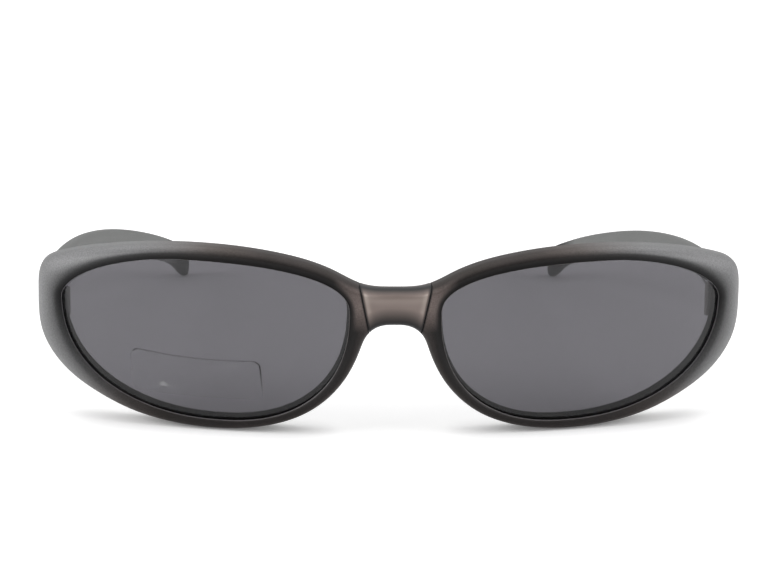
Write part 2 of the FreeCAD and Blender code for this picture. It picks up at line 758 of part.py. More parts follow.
film_ball = ball("FilmBall", lens_front + size("film_thickness"), "Sizes.lens_curve + Sizes.film_thickness")
film_outer = size("film_inner") + size("film_width")
film_top = size("film_bottom") + size("film_height")
film_outline = rounded_rectangle(size("film_inner"), film_outer, size("film_bottom"), film_top,
                                 size("film_corner"))
film_blank = extrude("FilmBlank", film_outline, -through / 2, through)
film_left = cut("FilmLeft", common("FilmDisc", film_blank, film_ball), lens_front_ball)


# ---------------------------------------------------------------------------
# The finished sub-parts
# ---------------------------------------------------------------------------

paired = (
    ("rim", rim_left),
    ("lens", lens_left),
    ("bridge_pins", pins_left),
    ("nose_pad", pad_left),
    ("hinge_front_leaf", front_leaf),
    ("hinge_front_rivets", front_rivet_pair),
    ("hinge_screw", screw),
    ("hinge_arm_leaf", arm_leaf),
    ("hinge_arm_rivets", arm_rivet_pair),
    ("arm", arm_left),
    ("arm_core_wire", core_left),
)
doc.recompute()
on_left = [item for label, item in paired]
extents = [item.Shape.optimalBoundingBox() for item in on_left]
middle_depth = (min(room.YMin for room in extents) + max(room.YMax for room in extents)) / 2
floor = min(room.ZMin for room in extents)
for item in on_left + [bridge, film_left]:
    item.Placement = Placement(Vector(0, -middle_depth, -floor), Rotation())
finish("bridge", bridge)
for label, item in paired:
    finish(label + "_left", item)
    finish(label + "_right", mirrored(item.Name + "Mirror", item))
finish("lens_film_right", mirrored("FilmRight", film_left))
doc.recompute()

for item in doc.Objects:
    bad = {"Invalid", "Error"} & set(item.State)
    if bad:
        raise RuntimeError("%s is %s" % (item.Label, bad))
for item in parts:
    if item.Shape.isNull() or not item.Shape.isValid():
        raise RuntimeError("%s has no valid shape" % item.Label)

os.makedirs("parts", exist_ok=True)
for item in parts:
    item.Shape.exportStep("parts/%s.step" % item.Label)
    print("%-26s %d solid(s) %10.2f mm3" % (item.Label, len(item.Shape.Solids), item.Shape.Volume))
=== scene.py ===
import math

import bpy
import numpy as np
from mathutils import Matrix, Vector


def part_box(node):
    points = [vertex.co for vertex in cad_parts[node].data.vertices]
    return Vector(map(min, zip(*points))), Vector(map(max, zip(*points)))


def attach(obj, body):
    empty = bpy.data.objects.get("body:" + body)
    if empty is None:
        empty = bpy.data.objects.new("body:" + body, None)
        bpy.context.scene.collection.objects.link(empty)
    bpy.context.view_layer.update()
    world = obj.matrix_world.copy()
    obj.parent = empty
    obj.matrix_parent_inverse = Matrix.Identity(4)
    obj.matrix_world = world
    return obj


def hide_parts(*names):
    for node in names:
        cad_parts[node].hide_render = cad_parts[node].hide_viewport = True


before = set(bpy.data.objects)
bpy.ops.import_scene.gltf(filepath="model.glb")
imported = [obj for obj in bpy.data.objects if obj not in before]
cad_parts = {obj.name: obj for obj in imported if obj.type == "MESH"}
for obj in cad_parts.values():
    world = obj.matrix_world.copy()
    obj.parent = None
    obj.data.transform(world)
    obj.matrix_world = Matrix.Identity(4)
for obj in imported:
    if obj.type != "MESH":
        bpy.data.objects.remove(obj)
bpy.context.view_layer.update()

# ---------------------------------------------------------------------------
# The studio: the glasses stand on a sheet of white paper, under a wide cloth-covered lamp with a
# smaller one at each side, and the room on the camera's side is dim.
# ---------------------------------------------------------------------------


def linear(code):
    """An sRGB hex colour as linear red, green and blue with alpha 1: the sRGB curve undone for each."""
    levels = [int(code[place:place + 2], 16) / 255 for place in (1, 3, 5)]
    return [v / 12.92 if v <= 0.04045 else ((v + 0.055) / 1.055) ** 2.4 for v in levels] + [1.0]


def add(tree, kind, sockets=None, **settings):
    """Adds a shader node: settings are its properties, and sockets are constants, other nodes' outputs, or
    other nodes for their first output."""
    node = tree.nodes.new("ShaderNode" + kind)
    for name, value in settings.items():
        setattr(node, name, value)
    for name, value in (sockets or {}).items():
        if isinstance(value, bpy.types.Node):
            value = value.outputs[0]
        if isinstance(value, bpy.types.NodeSocket):
            tree.links.new(value, node.inputs[name])
        else:
            node.inputs[name].default_value = value
    return node


def put(name, data):
    """A new object of this mesh, lamp or camera, in the scene."""
    item = bpy.data.objects.new(name, data)
    bpy.context.scene.collection.objects.link(item)
    return item


def new_material(name):
    """An empty node material and its tree."""
    made = bpy.data.materials.new(name)
    made.use_nodes = True
    made.node_tree.nodes.clear()
    return made, made.node_tree


def seen_directly(tree):
    """The light path, and 1 for rays from the camera and through glass and 0 for the rest."""
    path = add(tree, "LightPath")
    first = add(tree, "Math", {0: path.outputs["Is Camera Ray"], 1: path.outputs["Is Transmission Ray"]},
                operation="MAXIMUM")
    return path, first


# White paper: rough cellulose, so no gloss. The lamps make it nearly white, and a faint glow that only the
# camera and gloss see stands for the room's light: less close under the rims, which hide the room, and
# more far off, where the lamps don't reach.
PAPER_GLOW, TOUCHED_GLOW, GLOSS_GLOW, FAR_GLOW = 0.50, 0.12, 0.08, 0.5
TOUCH_REACH, FAR_START, FAR_END = 0.007, 0.30, 0.90
paper, tree = new_material("white_paper")
path, seen = seen_directly(tree)
open_sky = add(tree, "AmbientOcclusion", {"Distance": TOUCH_REACH}, samples=8).outputs["AO"]
glow = add(tree, "MapRange", {0: open_sky, 3: TOUCHED_GLOW, 4: PAPER_GLOW})
glow = add(tree, "Math", {0: path.outputs["Is Camera Ray"], 1: glow}, operation="MULTIPLY")
glow = add(tree, "Math", {0: path.outputs["Is Glossy Ray"], 1: GLOSS_GLOW, 2: glow},
           operation="MULTIPLY_ADD")
spot = add(tree, "TexCoord").outputs["Object"]
far = add(tree, "VectorMath", {0: spot}, operation="LENGTH").outputs["Value"]
far = add(tree, "MapRange", {0: far, 1: FAR_START, 2: FAR_END, 3: 0.0, 4: FAR_GLOW})
glow = add(tree, "Math", {0: seen, 1: far, 2: glow}, operation="MULTIPLY_ADD")
lift = add(tree, "Emission", {"Color": linear("#ffffff"), "Strength": glow})
sheet = add(tree, "BsdfDiffuse", {"Color": linear("#f2f2f2")})
both = add(tree, "AddShader", {0: sheet, 1: lift})
add(tree, "OutputMaterial", {"Surface": both})

PAPER_HALF, PAPER_LEVEL = 3.0, -0.00003
corners = [(x * PAPER_HALF, y * PAPER_HALF, PAPER_LEVEL) for x, y in ((-1, -1), (1, -1), (1, 1), (-1, 1))]
floor_mesh = bpy.data.meshes.new("paper_floor")
floor_mesh.from_pydata(corners, [], [(0, 1, 2, 3)])
floor_mesh.materials.append(paper)
put("paper_floor", floor_mesh)

# The room: white where it is seen, plain soft light, and for gloss a white room above and behind with a
# dim side where the camera stands.
ROOM_LIGHT, DIM_SIDE, WHITE_SIDE = 0.34, 0.02, 0.62
ABOVE_SHARE, BEHIND_SHARE, DIM_UP_TO, WHITE_FROM = 0.9, 0.55, -0.35, 0.55
room = bpy.data.worlds.new("studio_room")
room.use_nodes = True
tree = room.node_tree
tree.nodes.clear()
path, seen = seen_directly(tree)
way = add(tree, "TexCoord").outputs["Generated"]
parts = add(tree, "SeparateXYZ", {0: way})
height = add(tree, "Math", {0: parts.outputs["Z"], 1: ABOVE_SHARE}, operation="MULTIPLY")
toward = add(tree, "Math", {0: parts.outputs["Y"], 1: BEHIND_SHARE, 2: height}, operation="MULTIPLY_ADD")
shade = add(tree, "MapRange", {0: toward, 1: DIM_UP_TO, 2: WHITE_FROM, 3: DIM_SIDE, 4: WHITE_SIDE},
            interpolation_type="SMOOTHSTEP")
gloss = add(tree, "Math", {0: path.outputs["Is Glossy Ray"], 1: shade}, operation="MULTIPLY")
plain = add(tree, "MapRange", {0: path.outputs["Is Glossy Ray"], 3: ROOM_LIGHT, 4: 0.0})
level = add(tree, "Math", {0: gloss, 1: plain}, operation="ADD")
seen_level = add(tree, "MixRGB", {0: seen, 1: level, 2: linear("#ffffff")})
back = add(tree, "Background", {"Color": seen_level, "Strength": 1.0})
add(tree, "OutputWorld", {"Surface": back})
bpy.context.scene.world = room

# The lamps' upright, tipped a little because one of them hangs nearly overhead.
NEARLY_UP = (0, 0.02, 1)


def lamp(name, place, aim, width, height, level):
    """A rectangular soft lamp. It lights a matt surface square to it at this level, so its power is the
    level times pi squared times its distance squared."""
    light = bpy.data.lights.new(name, "AREA")
    light.shape = "RECTANGLE"
    light.size, light.size_y = width, height
    line = np.subtract(aim, place)
    light.energy = level * math.pi ** 2 * float(line @ line)
    item = put(name, light)
    item.location = place
    forward = line / np.linalg.norm(line)
    across = np.cross(forward, NEARLY_UP)
    across /= np.linalg.norm(across)
    up = np.cross(across, forward)
    item.rotation_euler = Matrix(np.column_stack((across, up, -forward)).tolist()).to_euler()


lamp("overhead_lamp", (0, 0.15, 0.9), (0, -0.02, 0.02), 1.5, 0.9, 0.36)
lamp("left_lamp", (-0.85, -0.30, 0.38), (0, -0.05, 0.02), 0.6, 0.6, 0.50)
lamp("right_lamp", (0.85, -0.30, 0.38), (0, -0.05, 0.02), 0.6, 0.6, 0.46)

# The camera: a 100 mm lens on full frame, two fifths of a metre off and a little above.
FOCAL_LENGTH, SENSOR_WIDTH = 100.0, 36.0
CAMERA_PLACE = (-0.01913, -0.46510, 0.11728)
AZIMUTH, ELEVATION, ROLL = (math.radians(angle) for angle in (2.464, 12.630, 0.634))
eye = bpy.data.cameras.new("camera")
eye.lens, eye.sensor_width = FOCAL_LENGTH, SENSOR_WIDTH
camera = put("camera", eye)
turn = (Matrix.Rotation(-AZIMUTH, 3, "Z") @ Matrix.Rotation(math.pi / 2 - ELEVATION, 3, "X")
        @ Matrix.Rotation(ROLL, 3, "Z"))
camera.rotation_euler = turn.to_euler()
camera.location = CAMERA_PLACE
bpy.context.scene.camera = camera
bpy.context.scene.view_settings.view_transform = "Standard"

# ---------------------------------------------------------------------------
# The lenses: smoke polycarbonate, moulded to a 6 base curve and edged to sit in the rims' grooves.
# Each is two concentric spherical faces 2 mm apart with a small bevel at the edge.
# ---------------------------------------------------------------------------

# In mm: the opening, how far its highest and lowest points lie from its middle and its widest level from
# its lowest, how full its quarters are, where 2 is an ellipse, and the lens, let into the rim's groove.
# Depths run back from a plane HINGE_BACK ahead of the hinge screw's axis.
MM = 0.001
LENS_GAP, LENS_WIDTH, LENS_HEIGHT = 17.5, 55.6, 31.9
PEAK_SHIFT, LOW_SHIFT, WAIST = 4.0, 3.7, 22.3
BROW, NOSE_TOP, NOSE_LOW, CHEEK = 1.82, 2.25, 2.31, 2.21
LENS_RADIUS, LENS_THICK, LENS_SETBACK, LET_IN = 88.0, 2.0, 5.2, 0.85
WRAP, TILT = math.radians(14.1), math.radians(6.2)
HINGE_BACK = 28.65

nasal = LENS_GAP / 2
temporal = nasal + LENS_WIDTH
lens_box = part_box("lens_left")
screw_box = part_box("hinge_screw_left")
lens_low = lens_box[0].z / MM + LET_IN
lens_high = lens_low + LENS_HEIGHT
waist = lens_low + WAIST
middle = (nasal + temporal) / 2
peak, low = middle + PEAK_SHIFT, middle - LOW_SHIFT
datum = (screw_box[0].y + screw_box[1].y) / 2 / MM - HINGE_BACK
facing = np.array((math.sin(WRAP) * math.cos(TILT), -math.cos(WRAP) * math.cos(TILT), -math.sin(TILT)))
centre = np.array((middle, LENS_SETBACK, (lens_low + lens_high) / 2)) - facing * LENS_RADIUS


def swell(circle, fullness):
    """Sines or cosines of a circle made those of a superellipse: their size to the power of two over the
    fullness, with their sign."""
    return np.sign(circle) * np.abs(circle) ** (2 / fullness)


def lens_edge(angles, grow=0.0):
    """The lens opening as x and z at angles in radians: four quarters of superellipse, each with its own
    half width, half height and fullness, meeting at the opening's four extremes."""
    across, upward = np.cos(angles), np.sin(angles)
    outer, upper = across >= 0, upward >= 0
    mid = np.where(upper, peak, low)
    half_width = np.where(outer, temporal - mid, mid - nasal) + grow
    half_height = np.where(upper, lens_high - waist, waist - lens_low) + grow
    fullness = np.where(upper, np.where(outer, BROW, NOSE_TOP), np.where(outer, CHEEK, NOSE_LOW))
    x = mid + half_width * swell(across, fullness)
    z = waist + half_height * swell(upward, fullness)
    return np.stack((x, z), -1)


def on_sphere(flat, radius):
    """Points x, depth, z: flat x and z carried back to the sphere of this radius about the lens's centre
    of curvature, where depth = centre depth - sqrt(radius^2 - dx^2 - dz^2)."""
    x, z = flat[..., 0], flat[..., 1]
    reach = radius ** 2 - (x - centre[0]) ** 2 - (z - centre[2]) ** 2
    return np.stack((x, centre[1] - np.sqrt(reach), z), -1)


HANDS, CREASE = ((1, "left"), (-1, "right")), math.radians(32.0)


def surface(name, grid, body, finish, side, poles=(), marks=None):
    """A piece from a grid of points in mm (rows, columns, x depth z): four-sided faces between neighbours,
    joined round along every row. Two poles close it with fans of triangles beyond its first and last row,
    and without poles its last row joins the first. side = -1 mirrors it to the wearer's right. The faces
    are turned so that the volume is positive. marks are named values, one for each grid point, that the
    material reads."""
    rows, columns = grid.shape[:2]
    number = np.arange(rows * columns).reshape(rows, columns)
    if len(poles) == 0:
        number = np.vstack((number, number[:1]))
    number = np.hstack((number, number[:, :1]))
    quads = np.stack((number[:-1, :-1], number[:-1, 1:], number[1:, 1:], number[1:, :-1]), -1)
    quads = quads.reshape(-1, 4)
    points = grid.reshape(-1, 3)
    fans = np.zeros((0, 3), int)
    for pole, ring, order in zip(poles, (number[0], number[-1]), (1, -1)):
        tip = np.full(len(ring) - 1, len(points))
        fan = np.stack((tip, ring[1:], ring[:-1]), -1)
        fans = np.vstack((fans, fan[:, ::order]))
        points = np.vstack((points, pole))
    place = (points * (side, 1, 1) + (0, datum, 0)) * MM
    triangles = np.vstack((quads[:, :3], quads[:, (0, 2, 3)], fans))
    a, b, c = (place[triangles[:, corner]] for corner in range(3))
    if np.einsum("ij,ij->i", a, np.cross(b, c)).sum() < 0:
        quads, fans = quads[:, ::-1], fans[:, ::-1]
    mesh = bpy.data.meshes.new(name)
    mesh.from_pydata(place, [], quads.tolist() + fans.tolist())
    mesh.shade_smooth()
    mesh.set_sharp_from_angle(angle=CREASE)
    mesh.materials.append(finish)
    for mark, values in (marks or {}).items():
        ends = [values[row].mean() for row in (0, -1)][:len(poles)]
        given = mesh.attributes.new(mark, "FLOAT", "POINT")
        given.data.foreach_set("value", np.concatenate((values.ravel(), ends)).astype(np.float32))
    piece = put(name, mesh)
    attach(piece, body)
    return piece


# Smoke polycarbonate, injection moulded: a polished face of index 1.58 under a hard coat that cuts its
# shine to less than half, with a tint that lets a sixth of the light through, a little bluer than neutral.
# Its shadow is as pale as that.
smoke, tree = new_material("smoke_polycarbonate")
clear = add(tree, "BsdfPrincipled", {"Base Color": linear("#747278"), "Roughness": 0.015, "IOR": 1.58,
                                     "Specular IOR Level": 0.2, "Transmission Weight": 1.0})
past = add(tree, "BsdfTransparent", {"Color": linear("#747278")})
shadow = add(tree, "LightPath").outputs["Is Shadow Ray"]
lens_mix = add(tree, "MixShader", {0: shadow, 1: clear, 2: past})
add(tree, "OutputMaterial", {"Surface": lens_mix})

LENS_STEPS, LENS_RINGS, FIRST_RING = 240, 22, 0.04
BEVEL, BEVEL_SPAN, HUB_DROP = 0.2, 20, 4.0


def full_turn(count):
    """Angles all the way round: each is its number times a full turn divided by their count."""
    return np.arange(count) * 2 * math.pi / count


angles = full_turn(LENS_STEPS)
hub = np.array((middle, waist - HUB_DROP))


def lens_rings(shares, radius):
    """Rings of the lens face: the edge drawn in towards the hub by each share, laid on a sphere."""
    edge = lens_edge(angles, LET_IN)
    return on_sphere(hub + (edge - hub) * shares[:, None, None], radius)


shares, rim_share = np.linspace(FIRST_RING, 1 - BEVEL / BEVEL_SPAN, LENS_RINGS), np.ones(1)
back_radius = LENS_RADIUS - LENS_THICK
lens_grid = np.concatenate((
    lens_rings(shares, LENS_RADIUS), lens_rings(rim_share, LENS_RADIUS - BEVEL),
    lens_rings(rim_share, back_radius + BEVEL), lens_rings(shares[::-1], back_radius)))
lens_poles = (on_sphere(hub, LENS_RADIUS), on_sphere(hub, back_radius))
for side, hand in HANDS:
    lens = surface("smoke_lens_" + hand, lens_grid, "front", smoke, side, lens_poles)
    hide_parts("lens_" + hand)

# ---------------------------------------------------------------------------
# The rims: each is one moulding of smoky translucent plastic, sprayed with a satin gunmetal lacquer.
# A flank slopes up from the lens to a soft crest, the outside rolls away behind it, and at the temple
# the moulding runs back as the block that carries the hinge. The nose end is sawn at a leaning seam.
# ---------------------------------------------------------------------------

# Degrees round the opening, up from the temple, and the rim's width there in mm. Then the bridge's top and
# arch, the seams, how far the rims stand in front of the lenses, and how deep they are.
RIM_WIDTHS = ((165, 3.8), (150, 2.65), (120, 2.7), (90, 2.745), (60, 3.15), (45, 3.85), (30, 4.95),
              (15, 6.2), (0, 5.2), (345, 5.9), (330, 5.2), (315, 3.75), (300, 2.9), (285, 2.3), (270, 2.0),
              (250, 1.85), (235, 2.1), (210, 2.5), (195, 2.95))
FLOOR_RIM = 2.0
lift_z = lens_low - FLOOR_RIM
BRIDGE_TOP, BRIDGE_SHOULDER, BRIDGE_RISE = 28.6 + lift_z, 4.6, 0.3
ARCH_TOP, ARCH_HALF, ARCH_CORNER, ARCH_FLAT, ARCH_DROP = 21.35 + lift_z, 4.8, 1.2, 2.64, 0.15
SEAM_HALF, SEAM_LEAN, SEAM_GAP = 5.1, math.tan(math.radians(12.0)), 0.02
PROUD, DEEP = 1.3, 6.7


def smooth_curve(knots, spots, closed=False):
    """Cubic spline through the knots: measured along straight runs between their first two numbers, with
    the same slope and bend on both sides of each knot. spots are shares of its whole length."""
    knots = np.asarray(knots, float)
    points = np.vstack((knots, knots[:1])) if closed else knots
    steps = np.linalg.norm(np.diff(points[:, :2], axis=0), axis=1)
    slopes = np.diff(points, axis=0) / steps[:, None]
    count = len(points)
    inner = np.arange(1, count - 1)
    system, right = np.zeros((count, count)), np.zeros(points.shape)
    system[inner, inner - 1], system[inner, inner + 1] = steps[:-1], steps[1:]
    system[inner, inner] = 2 * (steps[:-1] + steps[1:])
    right[inner] = 6 * (slopes[1:] - slopes[:-1])
    system[0, 0] = system[-1, -1] = 1
    if closed:
        system[-1, 0] = -1
        system[0, (0, 1, count - 2)] = 2 * (steps[-1] + steps[0]), steps[0], steps[-1]
        right[0] = 6 * (slopes[0] - slopes[-1])
    bend = np.linalg.solve(system, right)
    starts = np.concatenate(((0,), np.cumsum(steps)))
    places = np.asarray(spots) * starts[-1]
    run = np.clip(np.searchsorted(starts, places, side="right") - 1, 0, count - 2)
    span = steps[run][:, None]
    done = (places - starts[run])[:, None]
    left = span - done
    return ((bend[run] * left ** 3 + bend[run + 1] * done ** 3) / (6 * span)
            + (points[run] / span - bend[run] * span / 6) * left
            + (points[run + 1] / span - bend[run + 1] * span / 6) * done)


def nearest(points, line):
    """For each point, the distance to a closed line and the place along it: the closest vertex first, then
    the foot of the perpendicular on the runs at either side of it."""
    shape = points.shape[:-1]
    flat = points.reshape(-1, 2)
    gaps = (flat[:, 0:1] - line[None, :, 0]) ** 2 + (flat[:, 1:2] - line[None, :, 1]) ** 2
    best = gaps.argmin(1)
    found, along = np.full(len(flat), np.inf), np.zeros(len(flat))
    for offset in (-1, 0):
        start = (best + offset) % len(line)
        a, b = line[start], line[(start + 1) % len(line)]
        share = np.clip(((flat - a) * (b - a)).sum(1) / ((b - a) ** 2).sum(1), 0, 1)
        reach = np.linalg.norm(flat - a - (b - a) * share[:, None], axis=1)
        better = reach < found
        found, along = np.where(better, reach, found), np.where(better, start + share, along)
    return found.reshape(shape), along.reshape(shape)


def seam_x(z):
    """Half the width of the bridge piece at this height."""
    return SEAM_HALF + (z - ARCH_TOP) * SEAM_LEAN


# The whole front's outline: square off the lens opening by the rim's width, through the bridge's top
# and arch, and the same on both sides.
OUTLINE_POINTS, OPENING_POINTS = 1800, 2400
rim_angles = np.radians([angle for angle, width in RIM_WIDTHS])
step = math.radians(1.0)
along = lens_edge(rim_angles + step) - lens_edge(rim_angles - step)
along /= np.linalg.norm(along, axis=1)[:, None]
square = np.stack((along[:, 1], -along[:, 0]), -1)
half = [(BRIDGE_SHOULDER, BRIDGE_TOP + BRIDGE_RISE)]
half += (lens_edge(rim_angles) + square * np.array([[width] for angle, width in RIM_WIDTHS])).tolist()
half += [(ARCH_HALF, ARCH_TOP - ARCH_CORNER), (ARCH_FLAT, ARCH_TOP - ARCH_DROP)]
knots = [(0, BRIDGE_TOP)] + half + [(0, ARCH_TOP)] + [(-x, z) for x, z in reversed(half)]
outline = smooth_curve(knots, np.linspace(0, 1, OUTLINE_POINTS, endpoint=False), closed=True)
opening = lens_edge(full_turn(OPENING_POINTS))

# How the moulding is rolled: the crest's distance from the lens, how far across the front roll goes by
# its distance from the middle, how far back by the rim's width, and how far the rear roll goes.
CREST, CREST_SHARE = 1.35, 0.48
ROLL_ACROSS, ROLL_BACK = ((8, 22), (1.6, 5.2)), ((1.85, 2.7, 5.5), (2.0, 2.8, 3.0))
REAR_ACROSS, REAR_SHARE, REAR_BACK = 1.3, 0.45, 2.4
LIP_DROP, LIP_ROUND, CREST_SOFT, INNER_ROUND, SEAM_ROUND = 0.8, 0.25, 0.12, 0.5, 0.13
REAR_LIP, REAR_LIP_TEMPLE = 0.40, 0.85
rim_width, _ = nearest(np.abs(outline), opening)
outline_crest = np.minimum(CREST, CREST_SHARE * rim_width)
roll_across = np.minimum(rim_width - outline_crest, np.interp(np.abs(outline[:, 0]), *ROLL_ACROSS))
roll_back = np.interp(rim_width, *ROLL_BACK)
rear_across = np.minimum(REAR_ACROSS, REAR_SHARE * rim_width)


def ramp(values, start, span):
    """0 up to start, then evenly up to 1 over the span, and 1 from there: (value - start) / span, held
    between 0 and 1. A negative span runs the other way."""
    return np.clip((values - start) / span, 0, 1)


def quarter(distance, across, back):
    """How far an edge is rolled back at a distance in from it: a quarter of an ellipse that starts level
    at across and stands upright at the edge, back deep."""
    share = np.clip(1 - distance / across, 0, 1)
    return back * (1 - np.sqrt(1 - share ** 2))


def rolls(flat):
    """The front and rear roll at flat points x and z, by their distance to the front's outline."""
    distance, where = nearest(flat, outline)
    sample = np.arange(len(outline) + 1)
    values = [np.interp(where, sample, np.append(line, line[0]))
              for line in (roll_across, roll_back, rear_across)]
    return quarter(distance, values[0], values[1]), quarter(distance, values[2], REAR_BACK)


def crossing(values, rising):
    """Where a list of values first crosses zero in this direction, in samples: evenly between the last
    value before it and the first after it."""
    sign = 1 if rising else -1
    after = np.flatnonzero((values[:-1] * sign < 0) & (values[1:] * sign >= 0))[0]
    return after + values[after] / (values[after] - values[after + 1])


def at_places(line, places):
    """Points at fractional sample numbers of a line, evenly between its two nearest samples."""
    sample = np.arange(len(line))
    return np.stack([np.interp(places, sample, line[:, axis]) for axis in (0, 1)], -1)


# The end block's levels, inner face, butt and corners, and the hinge barrel's axis and the room round it.
BLOCK_LOW, BLOCK_HIGH, BLOCK_EASE = 17.7 + lift_z, 26.8 + lift_z, 0.4
BLOCK_INNER, BLOCK_BACK, BLOCK_ROUND, TEMPLE_X = 64.95, 28.3, 0.4, 60
HINGE_X, BARREL_ROOM = 64.75, 1.45
RIM_SECTIONS, SEAM_SECTIONS, BLOCK_SECTIONS, BLOCK_SPREAD, LEAST_STEP = 430, 34, 41, 6, 0.04

# Sections from seam to seam, closer together at the block's two edges, and then down the seam.
half_line = outline[:OUTLINE_POINTS // 2 + 1]
clear_of_seam = half_line[:, 0] - seam_x(half_line[:, 1]) - SEAM_GAP
start, end = crossing(clear_of_seam, True), crossing(clear_of_seam, False)
start_of, end_of = at_places(half_line, np.array((start, end)))
temple = half_line[:, 0] > TEMPLE_X
edges = [np.interp(level, half_line[temple][::-1, 1], np.flatnonzero(temple)[::-1])
         for level in (BLOCK_LOW, BLOCK_HIGH)]
extra = np.concatenate([edge + np.linspace(-BLOCK_SPREAD, BLOCK_SPREAD, BLOCK_SECTIONS) for edge in edges])
places = np.unique(np.concatenate((np.linspace(start, end, RIM_SECTIONS), extra)))
places = places[np.append(True, np.diff(places) > LEAST_STEP)]
round_rim = at_places(half_line, places)
round_rim[0], round_rim[-1] = start_of, end_of
seam_shares = (1 - np.cos(np.linspace(0, math.pi, SEAM_SECTIONS)[1:-1])) / 2
down_seam = end_of + (start_of - end_of) * seam_shares[:, None]
outer = np.vstack((round_rim, down_seam))
at_seam = (np.arange(len(outer)) >= len(round_rim)).astype(float)[:, None]

width, where = nearest(outer, opening)
inner = at_places(np.vstack((opening, opening[:1])), where)
heading = ((outer - inner) / width[:, None])[:, None, :]
width = width[:, None]
crest = np.minimum(CREST, CREST_SHARE * width)


def across(distances):
    """Flat points at these distances from the lens opening on every section, straight out along it."""
    return inner[:, None, :] + heading * distances[..., None]


def laid(distances, depth):
    """Points at these distances from the lens opening, this far behind the rim's foremost sphere."""
    return on_sphere(across(distances), LENS_RADIUS + PROUD - depth)


# Front: the lip's rounding, the flank, the crest and the roll.
LIP_POINTS, FLANK_SHARES, ROLL_POINTS = 4, np.array((0.35, 0.7, 0.88, 1.0)), 18
lip = LIP_ROUND * (1 - np.cos(np.linspace(0, math.pi / 2, LIP_POINTS)))[None, :] + 0 * width
flank = LIP_ROUND + (crest - LIP_ROUND) * FLANK_SHARES
swing = np.sin(np.linspace(0, math.pi / 2, ROLL_POINTS)[1:])[None, :]
front_reach = np.hstack((lip, flank, crest + (width - crest) * swing))
front_roll, _ = rolls(across(front_reach))
fall = LIP_DROP / CREST * (crest - front_reach)
front_depth = (fall + np.sqrt(fall ** 2 + CREST_SOFT ** 2)) / 2 + front_roll
front_depth += quarter(front_reach, LIP_ROUND, LIP_ROUND)
front_depth += at_seam * quarter(width - front_reach, SEAM_ROUND, SEAM_ROUND)
front_side = laid(front_reach, front_depth)

# Rear: rolled in from the outside, level behind the lens, rounded at a lip that reaches a little further
# in than the front does.
REAR_POINTS, INNER_POINTS = 17, 5
turn_in = (1 - np.cos(np.linspace(0, math.pi / 2, REAR_POINTS)))[None, :]
rear_lip = REAR_LIP + (REAR_LIP_TEMPLE - REAR_LIP) * np.clip(heading[:, :, 0], 0, 1)
rear_reach = width - (width + rear_lip - INNER_ROUND) * turn_in
inward = INNER_ROUND * (1 - np.sin(np.linspace(0, math.pi / 2, INNER_POINTS)[1:])) - rear_lip
rear_reach = np.hstack((rear_reach, inward + 0 * width))
_, rear_roll = rolls(across(rear_reach))
rear_depth = DEEP - rear_roll - quarter(rear_reach + rear_lip, INNER_ROUND, INNER_ROUND)
rear_depth -= at_seam * quarter(width - rear_reach, SEAM_ROUND, SEAM_ROUND)
rear_side = laid(rear_reach, rear_depth)

# The end block: back to a flat butt, round the hinge barrel's room and forward along its inner face.
# Where a section leaves the opening too steeply to get that far, its reach is held.
CORNER_POINTS, BUTT_SHARES, BARREL_POINTS = 5, np.array((0.33, 0.66, 1.0)), 6
STEEPEST, LEAST_REACH, MOST_REACH = 0.5, -2, 12


def block_side():
    """The rear of each section where the block is, point for point with the rim's own rear: rounded
    outside, level along the butt, hollow round the barrel, straight along the inner face."""
    outside = outer[:, 0:1]
    corner = np.linspace(0, math.pi / 2, CORNER_POINTS)[None, :]
    x_round = outside - BLOCK_ROUND * (1 - np.cos(corner))
    y_round = BLOCK_BACK - BLOCK_ROUND * (1 - np.sin(corner)) + 0 * outside
    gap = HINGE_BACK - BLOCK_BACK
    lip_x = HINGE_X + math.sqrt(BARREL_ROOM ** 2 - gap ** 2)
    x_butt = outside - BLOCK_ROUND + (lip_x - outside + BLOCK_ROUND) * BUTT_SHARES
    begin, finish = math.atan2(-gap, lip_x - HINGE_X), -math.acos((BLOCK_INNER - HINGE_X) / BARREL_ROOM)
    swing = begin + (finish - begin) * np.linspace(0, 1, BARREL_POINTS)[None, 1:]
    x_arc, y_arc = HINGE_X + BARREL_ROOM * np.cos(swing), HINGE_BACK + BARREL_ROOM * np.sin(swing)
    x_own = np.hstack((x_round, x_butt, x_arc + 0 * outside, BLOCK_INNER + 0 * outside))
    distance = (x_own - inner[:, 0:1]) / np.maximum(heading[:, :, 0], STEEPEST)
    distance = np.clip(distance, LEAST_REACH, MOST_REACH)
    z_own = inner[:, 1:2] + heading[:, :, 1] * distance
    inner_foot = np.stack((x_own[:, -1:], z_own[:, -1:]), -1)
    rear_y = on_sphere(inner_foot, LENS_RADIUS + PROUD - DEEP)[..., 1]
    y_own = np.hstack((y_round, BLOCK_BACK + 0 * x_butt, y_arc + 0 * outside, rear_y))
    shaped = rear_side.copy()
    count = x_own.shape[1]
    shaped[:, :count] = np.stack((x_own, y_own, z_own), -1)
    inward = np.linspace(0, 1, REAR_POINTS - count + 1)[1:]
    reach = distance[:, -1:] + (INNER_ROUND - rear_lip - distance[:, -1:]) * inward
    shaped[:, count:REAR_POINTS] = laid(reach, DEEP + 0 * reach)
    return shaped


rise = ramp(outer[:, 1], BLOCK_LOW, BLOCK_EASE)
sink = ramp(outer[:, 1], BLOCK_HIGH, -BLOCK_EASE)
share = np.minimum(rise, sink) * (outer[:, 0] > TEMPLE_X)
share = (share ** 2 * (3 - 2 * share))[:, None, None]
rear_side = rear_side + share * (block_side() - rear_side)

